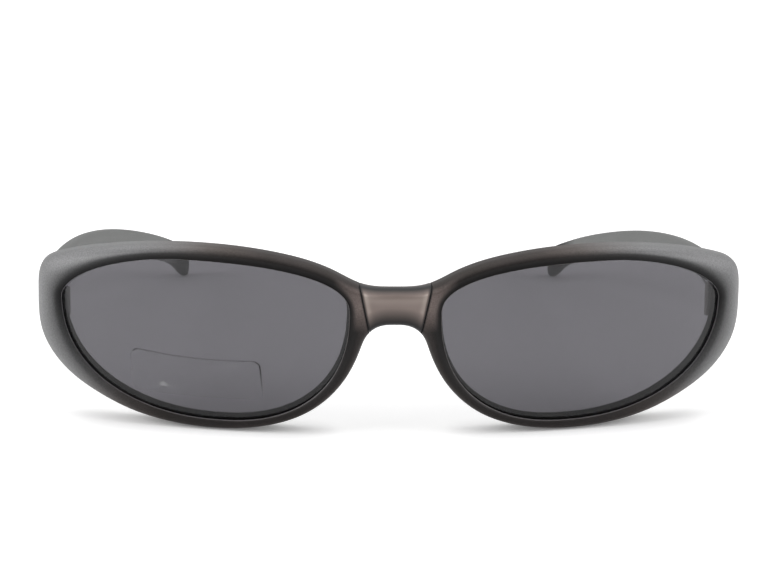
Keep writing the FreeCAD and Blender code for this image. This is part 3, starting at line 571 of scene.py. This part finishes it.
# The outside wall, and the groove with a little room round the lens.
WALL_POINTS, GROOVE_ROOM, GROOVE_IN = 6, 0.05, 0.9
wall_shares = np.linspace(0, 1, WALL_POINTS)[None, 1:-1, None]
wall = front_side[:, -1:] + (rear_side[:, :1] - front_side[:, -1:]) * wall_shares
GROOVE_FRONT, GROOVE_BACK = PROUD - GROOVE_ROOM, PROUD + LENS_THICK + GROOVE_ROOM
flush = 0 * width
groove = np.concatenate((
    laid(flush, GROOVE_BACK + flush), laid(GROOVE_IN + flush, GROOVE_BACK + flush),
    laid(GROOVE_IN + flush, GROOVE_FRONT + flush), laid(flush, GROOVE_FRONT + flush)), axis=1)
rim_grid = np.concatenate((front_side, wall, rear_side, groove), axis=1)

# How much lacquer each point gets, which also paints light and shade: little at the front lip and on the
# flank, which draws them near black as painted shade into the lens, a bit more where the flank faces up, as
# painted light from above, most past the crest, less round the back, and none behind the lens, in the
# groove and on the seam. A value of 2 marks a painted highlight along the lip's edge.
LIP_COVER, FLANK_COVER, CREST_COVER, UPWARD_PAINTED_LIGHT, LIP_GLINT, LIP_GLINT_POINTS = 0.04, 0.12, 0.84, 0.30, 2.0, 2
COVER_REACH, COVER_CURVE, SEAM_EDGE, SEAM_FADE, HAIR = 0.8, 0.9, 1.3, 0.3, 0.001
REAR_COVER, REAR_COVER_OUT, REAR_BARE, REAR_FADE = 0.42, 0.48, -0.2, 0.6
beyond = ramp(front_reach, crest, width - crest + HAIR)
on_flank = ramp(front_reach, LIP_ROUND, crest - LIP_ROUND)
facing_up = np.clip(-heading[:, :, 1], 0, 1)
past_crest = ramp(beyond, 0, COVER_REACH) ** COVER_CURVE
# Little cover on the lip and flank draws them near black: painted shade down the flank into the lens.
front_coat_and_shading = LIP_COVER + FLANK_COVER * on_flank ** 2 + CREST_COVER * past_crest
# Painted light: the flank is drawn lighter where it faces up, as the lamp overhead would light it.
front_coat_and_shading += UPWARD_PAINTED_LIGHT * facing_up * (1 - beyond)
# Painted highlight: the lip's first points are marked for a light grey line along its edge.
front_coat_and_shading[:, :LIP_GLINT_POINTS] = LIP_GLINT
seam_edge = 1 - at_seam * np.clip(SEAM_EDGE - (width - front_reach) / SEAM_FADE, 0, 1)
front_coat_and_shading = front_coat_and_shading * seam_edge
wall_cover = 1 - at_seam + 0 * wall[..., 0]
rear_cover = REAR_COVER + REAR_COVER_OUT * ramp(rear_reach, 0, width)
rear_cover = rear_cover * ramp(rear_reach, REAR_BARE, REAR_FADE)
coat_and_shading = np.hstack((front_coat_and_shading, wall_cover, rear_cover, 0 * groove[..., 0]))

# How thin it is beside the bridge, above the arch and off the lip and the roll: there the brown nylon
# shows on the front face.
BARE_REACH, BARE_FADE, BARE_LEVEL, BARE_RISE = 11.8, 4.8, 20.8, 4.5
BARE_IN, BARE_IN_FADE, BARE_ROLL = 0.5, 0.9, 0.9
from_bridge = ramp(front_side[..., 0], BARE_REACH, -BARE_FADE)
above_arch = ramp(front_side[..., 2] - lift_z, BARE_LEVEL, BARE_RISE)
off_lip, off_roll = ramp(front_reach, BARE_IN, BARE_IN_FADE), ramp(front_roll, BARE_ROLL, -BARE_ROLL)
bare = from_bridge * above_arch * off_lip * off_roll * seam_edge
bare = np.hstack((bare, 0 * wall[..., 0], 0 * rear_cover, 0 * groove[..., 0]))

# Satin gunmetal lacquer over smoky brown nylon. The spray is heaviest at the temples, where it is
# silver grey, and fades to a thin coat that leaves the rest nearly black and the bridge ends brown.
# Metal flake in it catches the light, and the surface is a little rough from the spray. The patterns'
# cells a metre make its clouds 8 mm across, its orange peel 0.7 mm, and its flakes 0.26 mm, which is ten
# times the real ones' so that they show.
CLOUDS, FLAKES, PEEL = 120.0, 3800.0, 1400.0
LEAN, DRIFT, HEAVY_FROM, HEAVY_TO = 0.52, 0.004, 0.0430, 0.0710
lacquer, tree = new_material("satin_gunmetal_lacquer")
spot = add(tree, "TexCoord").outputs["Object"]
parts = add(tree, "SeparateXYZ", {0: spot})
from_side = add(tree, "Math", {0: parts.outputs["X"]}, operation="ABSOLUTE")
lean = add(tree, "Math", {0: parts.outputs["Z"], 1: LEAN, 2: from_side}, operation="MULTIPLY_ADD")
cloud = add(tree, "TexNoise", {"Vector": spot, "Scale": CLOUDS, "Detail": 3.0})
drift = add(tree, "Math", {0: cloud, 1: DRIFT, 2: lean}, operation="MULTIPLY_ADD")
heavy = add(tree, "MapRange", {0: drift, 1: HEAVY_FROM, 2: HEAVY_TO}, interpolation_type="SMOOTHSTEP")
thin = add(tree, "MapRange", {0: cloud, 1: 0.3, 2: 0.7})
base = add(tree, "MixRGB", {0: thin, 1: linear("#3f3a37"), 2: linear("#474140")})
silver = add(tree, "MixRGB", {0: heavy, 1: linear("#83766f"), 2: linear("#939394")})
tone = add(tree, "MixRGB", {0: heavy, 1: base, 2: silver})
coat_and_shading_mark = add(tree, "Attribute", {}, attribute_name="coat_and_shading").outputs["Fac"]
full = add(tree, "Math", {0: coat_and_shading_mark, 1: 1.0}, operation="MINIMUM")
# Where the mark is low the colour goes near black: behind the lens, in the groove and on the seam, and as
# painted shade on the lip and flank.
coat = add(tree, "MixRGB", {0: full, 1: linear("#0d0c0d"), 2: tone})
# A painted highlight: light grey along the lip's edge, where the mark passes 1.
lip_glint = add(tree, "MapRange", {0: coat_and_shading_mark, 1: 1.0, 2: LIP_GLINT})
coat = add(tree, "MixRGB", {0: lip_glint, 1: coat, 2: linear("#8c8a8a")})
bare_mark = add(tree, "Attribute", {}, attribute_name="bare").outputs["Fac"]
coat = add(tree, "MixRGB", {0: bare_mark, 1: coat, 2: linear("#7a6e6a")})
flake = add(tree, "TexNoise", {"Vector": spot, "Scale": FLAKES, "Detail": 1.0})
flake_level = add(tree, "MapRange", {0: flake, 1: 0.3, 2: 0.7, 3: 0.84, 4: 1.16})
colour = add(tree, "MixRGB", {0: 1.0, 1: coat, 2: flake_level}, blend_type="MULTIPLY")
peel = add(tree, "TexNoise", {"Vector": spot, "Scale": PEEL, "Detail": 1.0})
bump = add(tree, "Bump", {"Height": peel, "Strength": 0.08, "Distance": 0.0001})
metal = add(tree, "Math", {0: full, 1: 0.55}, operation="MULTIPLY")
rough = add(tree, "MapRange", {0: coat_and_shading_mark, 1: 0.0, 2: 0.15, 3: 0.9, 4: 0.46})
skin = add(tree, "BsdfPrincipled", {"Base Color": colour, "Metallic": metal, "Roughness": rough, "IOR": 1.5,
                                    "Specular IOR Level": 0.28, "Normal": bump})
add(tree, "OutputMaterial", {"Surface": skin})

for side, hand in HANDS:
    rim = surface("rim_moulding_" + hand, rim_grid, "front", lacquer, side,
                  marks={"coat_and_shading": coat_and_shading, "bare": bare})
    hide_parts("rim_" + hand)

# ---------------------------------------------------------------------------
# The bridge: its own small moulding between the seams, saddle shaped, hollow in front and rolled over
# at the top and under the arch, from the same plastic with hardly any lacquer. Dowels hold it.
# ---------------------------------------------------------------------------

# How far the bridge is hollowed in front and bowed behind, its points, and the outline's parts that its
# top and its arch follow.
HOLLOW, BOW, BRIDGE_COLUMNS, BRIDGE_POINTS, SETTLING = 1.4, 0.7, 49, 30, 4
TOP_SPAN, ARCH_SPAN, LEVEL_ROOM = 12, 5.6, 3
from_middle, over_arch = np.abs(outline[:, 0]), outline[:, 1] - ARCH_TOP
upper = outline[(from_middle < TOP_SPAN) & (over_arch > LEVEL_ROOM)]
lower = outline[(from_middle < ARCH_SPAN) & (np.abs(over_arch) < LEVEL_ROOM)]
upper, lower = upper[upper[:, 0].argsort()], lower[lower[:, 0].argsort()]

# Painted light and shade on the bridge's face: it is drawn darker to its lower and upper edges as painted
# shade, darker at the seam, and paler in bands beside the seam and under the top as painted highlights,
# each band by its strength, its place and its width.
LOW_DARK, LOW_FADE, LOW_CURVE, HIGH_DARK, HIGH_FADE = 0.8, 3.1, 1.5, 0.15, 0.9
SEAM_HIGHLIGHT, TOP_HIGHLIGHT = (0.2, 0.75, 0.45), (0.12, 2.0, 0.8)
# The seam line's darkening, and the level of the shading mark on the back, which draws it darker than the
# face.
SEAM_LINE, SEAM_LINE_FADE, REAR_SHADING = 0.4, 0.3, 0.3


def band(distance, strength, place, width):
    """A soft band: its strength times e to the minus square of (distance - place) / width."""
    return strength * np.exp(-((distance - place) / width) ** 2)


def bridge_ring(share, inset=0.0):
    """One section of the bridge at a share of the way from its middle to the seam: up the front, over the
    top, down the back and under the arch, each point pulled in by inset. The front is hollowed, and the
    back bowed, by one less the share squared. A point's fourth number is its painted shading: 0 at the
    rolled edges, as painted shade, and at the seam, 1 on the face, 1.2 beside the seam in a painted
    highlight."""
    top, bottom = BRIDGE_TOP, ARCH_TOP
    for _ in range(SETTLING):
        top = np.interp(share * (seam_x(top) - SEAM_GAP), upper[:, 0], upper[:, 1])
        bottom = np.interp(share * (seam_x(bottom) - SEAM_GAP), lower[:, 0], lower[:, 1])
    angle = np.linspace(0, math.pi, BRIDGE_POINTS)
    middle_z, half_z = (top + bottom) / 2, (top - bottom) / 2
    z = middle_z - half_z * np.cos(angle)
    x = share * (seam_x(z) - SEAM_GAP)
    flat = np.stack((x, z), -1)
    front_roll, rear_roll = rolls(flat)
    seam = np.stack((seam_x(z) - SEAM_GAP, z), -1)
    bulge = 1 - share ** 2
    front_y = on_sphere(seam, LENS_RADIUS + PROUD)[:, 1] + HOLLOW * bulge + front_roll
    rear_y = on_sphere(seam, LENS_RADIUS + PROUD - DEEP)[:, 1] + BOW * bulge - rear_roll
    around = np.vstack((np.stack((x, front_y + inset, z), -1), np.stack((x, rear_y - inset, z), -1)[::-1]))
    shrink = (half_z - inset) / half_z
    around[:, 2] = middle_z + (around[:, 2] - middle_z) * shrink
    # Painted shade towards the lower and upper rolled edges.
    low_edge, high_edge = ramp(z - bottom, LOW_DARK, LOW_FADE), ramp(top - z, HIGH_DARK, HIGH_FADE)
    to_seam = seam_x(z) - np.abs(x)
    # Painted highlights: paler bands beside the seam and under the top.
    highlight_gain = 1 + band(to_seam, *SEAM_HIGHLIGHT) + band(top - z, *TOP_HIGHLIGHT)
    seam_line = np.clip(to_seam / SEAM_LINE_FADE - SEAM_LINE, 0, 1)
    painted_shading = low_edge ** LOW_CURVE * high_edge * highlight_gain * seam_line
    return np.column_stack((around, np.append(painted_shading, REAR_SHADING + 0 * painted_shading)))


ring_shares = np.linspace(-1, 1, BRIDGE_COLUMNS)
end_round, HALFWAY = SEAM_ROUND / SEAM_HALF, 0.29
insets = [(1.0, SEAM_ROUND), (1 - end_round * HALFWAY, SEAM_ROUND * HALFWAY), (1 - end_round, 0.0)]
rings = [bridge_ring(-share, inset) for share, inset in insets]
rings += [bridge_ring(share) for share in ring_shares[2:-2]]
rings += [bridge_ring(share, inset) for share, inset in reversed(insets)]
bridge_grid, bridge_painted_shading = np.split(np.array(rings), (3,), axis=2)
bridge_poles = (bridge_grid[0].mean(0), bridge_grid[-1].mean(0))

# Smoky grey-brown nylon, satin from the mould. Its face is painted darker towards its rolled edges, as
# painted shade, and paler in bands, as painted highlights. Its clouds are 6 mm across and its skin's
# ripples 0.7 mm.
NYLON_CLOUDS, RIPPLES = 160.0, 1500.0
nylon, tree = new_material("smoky_nylon")
spot = add(tree, "TexCoord").outputs["Object"]
cloud = add(tree, "TexNoise", {"Vector": spot, "Scale": NYLON_CLOUDS, "Detail": 3.0})
tone = add(tree, "MixRGB", {0: cloud, 1: linear("#877a75"), 2: linear("#93857f")})
shading_attribute = add(tree, "Attribute", {}, attribute_name="painted_shading")
face = add(tree, "Math", {0: shading_attribute.outputs["Fac"], 1: 1.0}, operation="MINIMUM")
# Painted shade: near black where the mark falls towards 0.
tone = add(tree, "MixRGB", {0: face, 1: linear("#232223"), 2: tone})
pale = add(tree, "MapRange", {0: shading_attribute.outputs["Fac"], 1: 1.0, 2: 1.3})
# Painted highlights: paler where the mark is above 1.
tone = add(tree, "MixRGB", {0: pale, 1: tone, 2: linear("#b0a39b")})
ripple = add(tree, "TexNoise", {"Vector": spot, "Scale": RIPPLES, "Detail": 1.0})
bump = add(tree, "Bump", {"Height": ripple, "Strength": 0.06, "Distance": 0.0001})
skin = add(tree, "BsdfPrincipled", {"Base Color": tone, "Metallic": 0.25, "Roughness": 0.38, "IOR": 1.53,
                                    "Specular IOR Level": 0.35, "Normal": bump})
add(tree, "OutputMaterial", {"Surface": skin})
bridge = surface("bridge_saddle", bridge_grid, "front", nylon, 1, bridge_poles, {"painted_shading": bridge_painted_shading})
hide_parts("bridge")

# ---------------------------------------------------------------------------
# The nose pads: small moulded pebbles bonded to the backs of the rims, matt and slightly soft.
# ---------------------------------------------------------------------------

# Half its thickness, depth and height, its middle, how it splays and slopes, how far it sinks into the
# rim, and its points.
PAD_HALVES, PAD_PLACE = (1.0, 2.8, 3.8), (8.7, 8.3, 14.6 + lift_z)
PAD_SPLAY, PAD_SLOPE, PAD_SINK = math.radians(8.0), math.radians(23.0), 0.15
PAD_AROUND, PAD_DOWN = 72, 38
around = full_turn(PAD_AROUND)
down = np.linspace(0, math.pi, PAD_DOWN)[1:-1, None]
pebble = np.stack((np.sin(down) * np.cos(around), np.sin(down) * np.sin(around),
                   np.cos(down) + 0 * around), -1) * PAD_HALVES
pad_turn = np.array(Matrix.Rotation(-PAD_SPLAY, 3, "Z") @ Matrix.Rotation(-PAD_SLOPE, 3, "Y"))


def bonded(points):
    """Pad points turned into place, with those ahead of the rim's back laid on that sphere."""
    placed = points @ pad_turn.T + PAD_PLACE
    seat = on_sphere(placed[..., (0, 2)], LENS_RADIUS + PROUD - DEEP + PAD_SINK)[..., 1]
    placed[..., 1] = np.maximum(placed[..., 1], seat)
    return placed


pad_poles = bonded(np.array(((0, 0, PAD_HALVES[2]), (0, 0, -PAD_HALVES[2]))))

# Nylon from a spark-eroded mould: matt, with a fine grain 0.4 mm across, so its gloss is broken up.
PAD_GRAIN = 2500.0
pad_soft, tree = new_material("matt_moulded_nylon")
spot = add(tree, "TexCoord").outputs["Object"]
grain = add(tree, "TexNoise", {"Vector": spot, "Scale": PAD_GRAIN, "Detail": 2.0})
tone = add(tree, "MixRGB", {0: grain, 1: linear("#2d2b2b"), 2: linear("#3a3838")})
bump = add(tree, "Bump", {"Height": grain, "Strength": 0.15, "Distance": 0.0001})
skin = add(tree, "BsdfPrincipled", {"Base Color": tone, "Roughness": 0.6, "IOR": 1.53, "Normal": bump})
add(tree, "OutputMaterial", {"Surface": skin})
for side, hand in HANDS:
    pad = surface("nose_pebble_" + hand, bonded(pebble), "front", pad_soft, side, pad_poles)
    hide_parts("nose_pad_" + hand)

# ---------------------------------------------------------------------------
# The arms: deep flat temples moulded over a steel wire, crowned outside, leaning in behind the head
# and turning down to a rounded tip, in a matt grey lacquer. The front end clears the hinge barrel.
# ---------------------------------------------------------------------------

# Each station: how far behind the arm's front end, how far in from its outside there, its thickness, and
# the heights of its top and bottom. Then the share of its length that rounds the tip, its section's
# fullness, and how its front edge is rounded and its front face filled.
ARM_START, OUTSIDE = 28.8, 69.545
STATIONS = ((0.0, 0.0, 3.9, 26.8, 17.7), (9.0, -0.5, 3.7, 26.4, 18.3), (20.0, -0.4, 3.4, 26.1, 20.6),
            (33.0, 0.5, 3.2, 25.8, 20.0), (51.0, 2.7, 3.1, 24.4, 17.7), (70.0, 6.4, 3.0, 21.6, 14.4),
            (90.0, 11.6, 2.9, 17.1, 10.3), (104.0, 16.0, 2.8, 13.0, 6.8), (113.0, 19.1, 2.7, 9.8, 2.8),
            (118.0, 20.9, 2.4, 7.1, 0.1), (120.5, 21.8, 1.4, 4.6, 0.9))
TIP_ROUND, FRONT_ROUND, SECTION_POINTS, CROWN = 0.016, 0.35, 64, 3.4
EDGE_SHARES, EDGE_EASE = (0, 0.0006, 0.0016, 0.003), (1, 0.5, 0.2, 0.05)
LENGTH_START, LENGTH_POINTS, TIP_POINTS, TIP_POLE = 0.006, 150, 9, 0.3
FACE_FIRST, FACE_LAST, FACE_RINGS, NEAR_AXIS = 0.1, 0.9, 8, 1e-6
tip_shares = 1 - TIP_ROUND * (1 - np.sin(np.linspace(0, math.pi / 2, TIP_POINTS)[1:-1]))
shares = np.concatenate((EDGE_SHARES, np.linspace(LENGTH_START, 1 - TIP_ROUND, LENGTH_POINTS), tip_shares))
back, inset, thick, top, bottom = smooth_curve(np.array(STATIONS) * (1, -1, 1, 1, 1), shares).T
back_slope, side_slope = np.gradient(back, shares), np.gradient(inset, shares)
length = np.hypot(back_slope, side_slope)
ahead = np.stack((side_slope, back_slope), -1) / length[:, None]
inward = np.stack((-ahead[:, 1], ahead[:, 0]), -1)
closing = np.clip((shares - 1 + TIP_ROUND) / TIP_ROUND, 0, 1)
closing = np.sqrt(1 - closing ** 2)
eased = FRONT_ROUND * np.append(EDGE_EASE, np.zeros(len(shares) - len(EDGE_EASE)))
half_thick, half_tall = thick / 2 * closing - eased, (top - bottom) / 2 * closing - eased
around = full_turn(SECTION_POINTS)
round_x, round_z = swell(np.cos(around), CROWN), swell(np.sin(around), CROWN)
spine = np.stack((OUTSIDE + inset, ARM_START + back), -1) + inward * (thick / 2)[:, None]
across_arm = -inward[:, None, :] * (half_thick[:, None] * round_x)[..., None]
plan = spine[:, None, :] + across_arm
level = (top + bottom)[:, None] / 2 + half_tall[:, None] * round_z + lift_z
arm_grid = np.stack((plan[..., 0], plan[..., 1], level), -1)
face_middle = arm_grid[0].mean(0)
face_shares = np.linspace(FACE_FIRST, FACE_LAST, FACE_RINGS)[:, None, None]
arm_grid = np.concatenate((face_middle + (arm_grid[0] - face_middle) * face_shares, arm_grid))


def clear_of_barrel(points):
    """Points nearer to the hinge axis than the barrel's room are pushed straight out to it: their offset
    from the axis times the room over its length."""
    dx, dy = points[..., 0] - HINGE_X, points[..., 1] - HINGE_BACK
    reach = np.maximum(np.hypot(dx, dy), NEAR_AXIS)
    push = np.maximum(BARREL_ROOM / reach, 1)
    return np.stack((HINGE_X + dx * push, HINGE_BACK + dy * push, points[..., 2]), -1)


arm_grid = clear_of_barrel(arm_grid)
front_middle, before_last, last = (arm_grid[row].mean(0) for row in (0, -2, -1))
arm_poles = (front_middle, last + (last - before_last) * TIP_POLE)

# The arm is drawn darker over the last seventh of its length, to near black at the tip.
FADE_START, FADE_LONG = 0.86, 0.07
darkened_tip = ramp(shares, FADE_START, FADE_LONG)
darkened_tip = np.concatenate((np.zeros(FACE_RINGS), darkened_tip))[:, None] + 0 * around

# Matt grey lacquer, sprayed in an even low-shine coat: its clouds are 14 mm across, and its flakes are
# fewer than the rims' and drawn as coarse.
ARM_CLOUDS = 70.0
matt, tree = new_material("matt_grey_lacquer")
spot = add(tree, "TexCoord").outputs["Object"]
cloud = add(tree, "TexNoise", {"Vector": spot, "Scale": ARM_CLOUDS, "Detail": 3.0})
tone = add(tree, "MixRGB", {0: cloud, 1: linear("#7c7d7c"), 2: linear("#858685")})
flake = add(tree, "TexNoise", {"Vector": spot, "Scale": FLAKES, "Detail": 1.0})
flake_level = add(tree, "MapRange", {0: flake, 1: 0.3, 2: 0.7, 3: 0.94, 4: 1.06})
colour = add(tree, "MixRGB", {0: 1.0, 1: tone, 2: flake_level}, blend_type="MULTIPLY")
tip = add(tree, "Attribute", {}, attribute_name="darkened_tip")
# The tip is drawn near black.
colour = add(tree, "MixRGB", {0: tip.outputs["Fac"], 1: colour, 2: linear("#1c1a1a")})
bump = add(tree, "Bump", {"Height": flake, "Strength": 0.1, "Distance": 0.0001})
skin = add(tree, "BsdfPrincipled", {"Base Color": colour, "Metallic": 0.4, "Roughness": 0.55, "IOR": 1.5,
                                    "Normal": bump})
add(tree, "OutputMaterial", {"Surface": skin})
for side, hand in HANDS:
    arm = surface("arm_moulding_" + hand, arm_grid, "arm_" + hand, matt, side, arm_poles,
                  {"darkened_tip": darkened_tip})
    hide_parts("arm_" + hand)

# ---------------------------------------------------------------------------
# The hinges and pins: stamped nickel steel leaves, turned screws and rivets, drawn dowels and wires.
# The leaves are let into the plastic and riveted, and the screws hold their knuckles together.
# ---------------------------------------------------------------------------

GLOSS_SPREAD = 0.06


def steel(name, code, roughness, grain_scale):
    """Bare steel with a faint grain of its making, drawn, stamped or turned, which varies its roughness by
    the spread either way. The grain is 0.4 to 0.6 mm across, coarser than the real one's, to show."""
    made, tree = new_material(name)
    spot = add(tree, "TexCoord").outputs["Object"]
    grain = add(tree, "TexNoise", {"Vector": spot, "Scale": grain_scale, "Detail": 3.0})
    rough = add(tree, "MapRange", {0: grain, 1: 0.3, 2: 0.7, 3: roughness - GLOSS_SPREAD,
                                   4: roughness + GLOSS_SPREAD})
    bump = add(tree, "Bump", {"Height": grain, "Strength": 0.08, "Distance": 0.00005})
    skin = add(tree, "BsdfPrincipled", {"Base Color": linear(code), "Metallic": 1.0, "Roughness": rough,
                                        "Normal": bump})
    add(tree, "OutputMaterial", {"Surface": skin})
    return made


stamped = steel("stamped_nickel_steel", "#a9a8a4", 0.34, 1800.0)
turned = steel("turned_stainless_steel", "#b9b8b5", 0.24, 2600.0)
drawn = steel("drawn_steel", "#a5a5a5", 0.30, 2200.0)
for prefix, finish in (("hinge_front_leaf", stamped), ("hinge_arm_leaf", stamped),
                       ("hinge_front_rivets", turned), ("hinge_arm_rivets", turned),
                       ("hinge_screw", turned), ("bridge_pins", drawn), ("arm_core_wire", drawn)):
    for _, hand in HANDS:
        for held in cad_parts[prefix + "_" + hand].material_slots:
            held.material = finish

# ---------------------------------------------------------------------------
# The clear film on the wearer's right lens: a bare slip of polyester that clings to the lens, with one
# bubble under its top edge and a smaller one low down where it hasn't taken.
# ---------------------------------------------------------------------------

# Its nose end, width, low edge, height and corners, its thickness and the air behind it, and its bubbles,
# each by its place, radius and height.
FILM_IN, FILM_WIDE, FILM_LOW, FILM_TALL, FILM_CORNER = 25.7, 25.0, 6.9 + lift_z, 8.6, 1.6
FILM_THICK, FILM_AIR = 0.09, 0.015
BUBBLES = ((30.4, 14.3 + lift_z, 1.2, 0.05), (44.4, 8.6 + lift_z, 0.9, 0.04))
film_hub = np.array((FILM_IN + FILM_WIDE / 2, FILM_LOW + FILM_TALL / 2))
half_film = np.array((FILM_WIDE, FILM_TALL)) / 2


def film_edge(count):
    """A rectangle with round corners as x and z about its middle, evenly spaced by angle of its normal
    and along its straight sides."""
    straight = np.linspace(0, 1, count)
    corners = []
    for turn, sx, sz in ((0, 1, 1), (1, -1, 1), (2, -1, -1), (3, 1, -1)):
        angle = (turn + straight) * math.pi / 2
        hub = (half_film - FILM_CORNER) * (sx, sz)
        corners.append(hub + FILM_CORNER * np.stack((np.cos(angle), np.sin(angle)), -1))
    return np.vstack(corners)


CORNER_STEPS, EDGE_SPLITS, FILM_RINGS, FILM_FIRST, CUT_START, CUT_INSIDE = 9, 4, 44, 0.03, 0.975, 0.985
corner_ring = film_edge(CORNER_STEPS)
film_ring = np.vstack([np.linspace(a, b, EDGE_SPLITS, endpoint=False)
                       for a, b in zip(corner_ring, np.roll(corner_ring, -1, 0))])
film_shares = np.concatenate((np.linspace(FILM_FIRST, CUT_START, FILM_RINGS), (CUT_INSIDE, 1.0)))
film_flat = film_hub + film_ring * film_shares[:, None, None]

# It was laid on by hand: its edges bow, the top one most, and its nose end hangs lower and spreads.
BOW_LOW, BOW_TOP_MORE, BOW_START, BOW_SLOPE, BOW_BEND, END_LEAN = 0.4, 0.6, -0.85, -1.2, 2.33, 0.08
outward = (film_flat[..., :1] - FILM_IN) / FILM_WIDE
upward = (film_flat[..., 1:] - FILM_LOW) / FILM_TALL
film_bow = BOW_START + BOW_SLOPE * outward + BOW_BEND * outward ** 2
film_flat[..., 1:] += (BOW_LOW + BOW_TOP_MORE * upward) * film_bow
film_flat[..., :1] -= END_LEAN * (FILM_LOW + FILM_TALL - film_flat[..., 1:]) * (1 - outward)
lifted = np.zeros(film_flat.shape[:2])
for x, z, radius, height in BUBBLES:
    near = np.clip(1 - ((film_flat - (x, z)) ** 2).sum(-1) / radius ** 2, 0, 1)
    lifted += height * near
film_front = on_sphere(film_flat, LENS_RADIUS + FILM_THICK + lifted)
film_back = on_sphere(film_flat, LENS_RADIUS + FILM_AIR + lifted)
film_grid = np.concatenate((film_front, film_back[::-1]))
film_poles = (on_sphere(film_hub, LENS_RADIUS + FILM_THICK), on_sphere(film_hub, LENS_RADIUS + FILM_AIR))

# Its cut edge is drawn as a dark line, a painted shade, along the top and part of the way down the nose
# end, and its bubbles are drawn pale, a painted reflection.
EDGE_LOW, EDGE_FADE, END_ROOM, FULL_SHEEN = -0.55, 0.8, 0.3, 0.02
shows = ramp(film_ring[:, 1] / half_film[1], EDGE_LOW, EDGE_FADE)
shows = shows * (film_ring[:, 0] < half_film[0] - END_ROOM)
painted_dark_edge = (film_shares >= CUT_INSIDE)[:, None] * shows[None, :]
# The painted reflection on the bubbles, by how far the film is lifted.
bubble_sheen = ramp(lifted, 0, FULL_SHEEN)
film_marks = {"painted_dark_edge": np.vstack((painted_dark_edge, painted_dark_edge[::-1])), "bubble_sheen": np.vstack((bubble_sheen, bubble_sheen[::-1]))}

# Clear polyester film, 0.1 mm thick: it hardly shows but for its cut edge, painted dark as shade, and the
# pale patches where air is under it, painted as reflection.
polyester, tree = new_material("clear_polyester")
edge_mark = add(tree, "Attribute", {}, attribute_name="painted_dark_edge").outputs["Fac"]
bubble_sheen_mark = add(tree, "Attribute", {}, attribute_name="bubble_sheen").outputs["Fac"]
# Painted reflection: the bubbles are drawn pale.
tone = add(tree, "MixRGB", {0: bubble_sheen_mark, 1: linear("#77767a"), 2: linear("#b9b9bb")})
# Painted shade: the cut edge is drawn near black.
tone = add(tree, "MixRGB", {0: edge_mark, 1: tone, 2: linear("#1d1d1d")})
shown = add(tree, "Math", {0: bubble_sheen_mark, 1: 0.34, 2: 0.03}, operation="MULTIPLY_ADD")
shown = add(tree, "Math", {0: edge_mark, 1: 0.75, 2: shown}, operation="MULTIPLY_ADD")
slip = add(tree, "BsdfPrincipled", {"Base Color": tone, "Roughness": 0.15, "IOR": 1.5, "Alpha": shown})
add(tree, "OutputMaterial", {"Surface": slip})
film = surface("clear_film", film_grid, "front", polyester, -1, film_poles, film_marks)
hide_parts("lens_film_right")
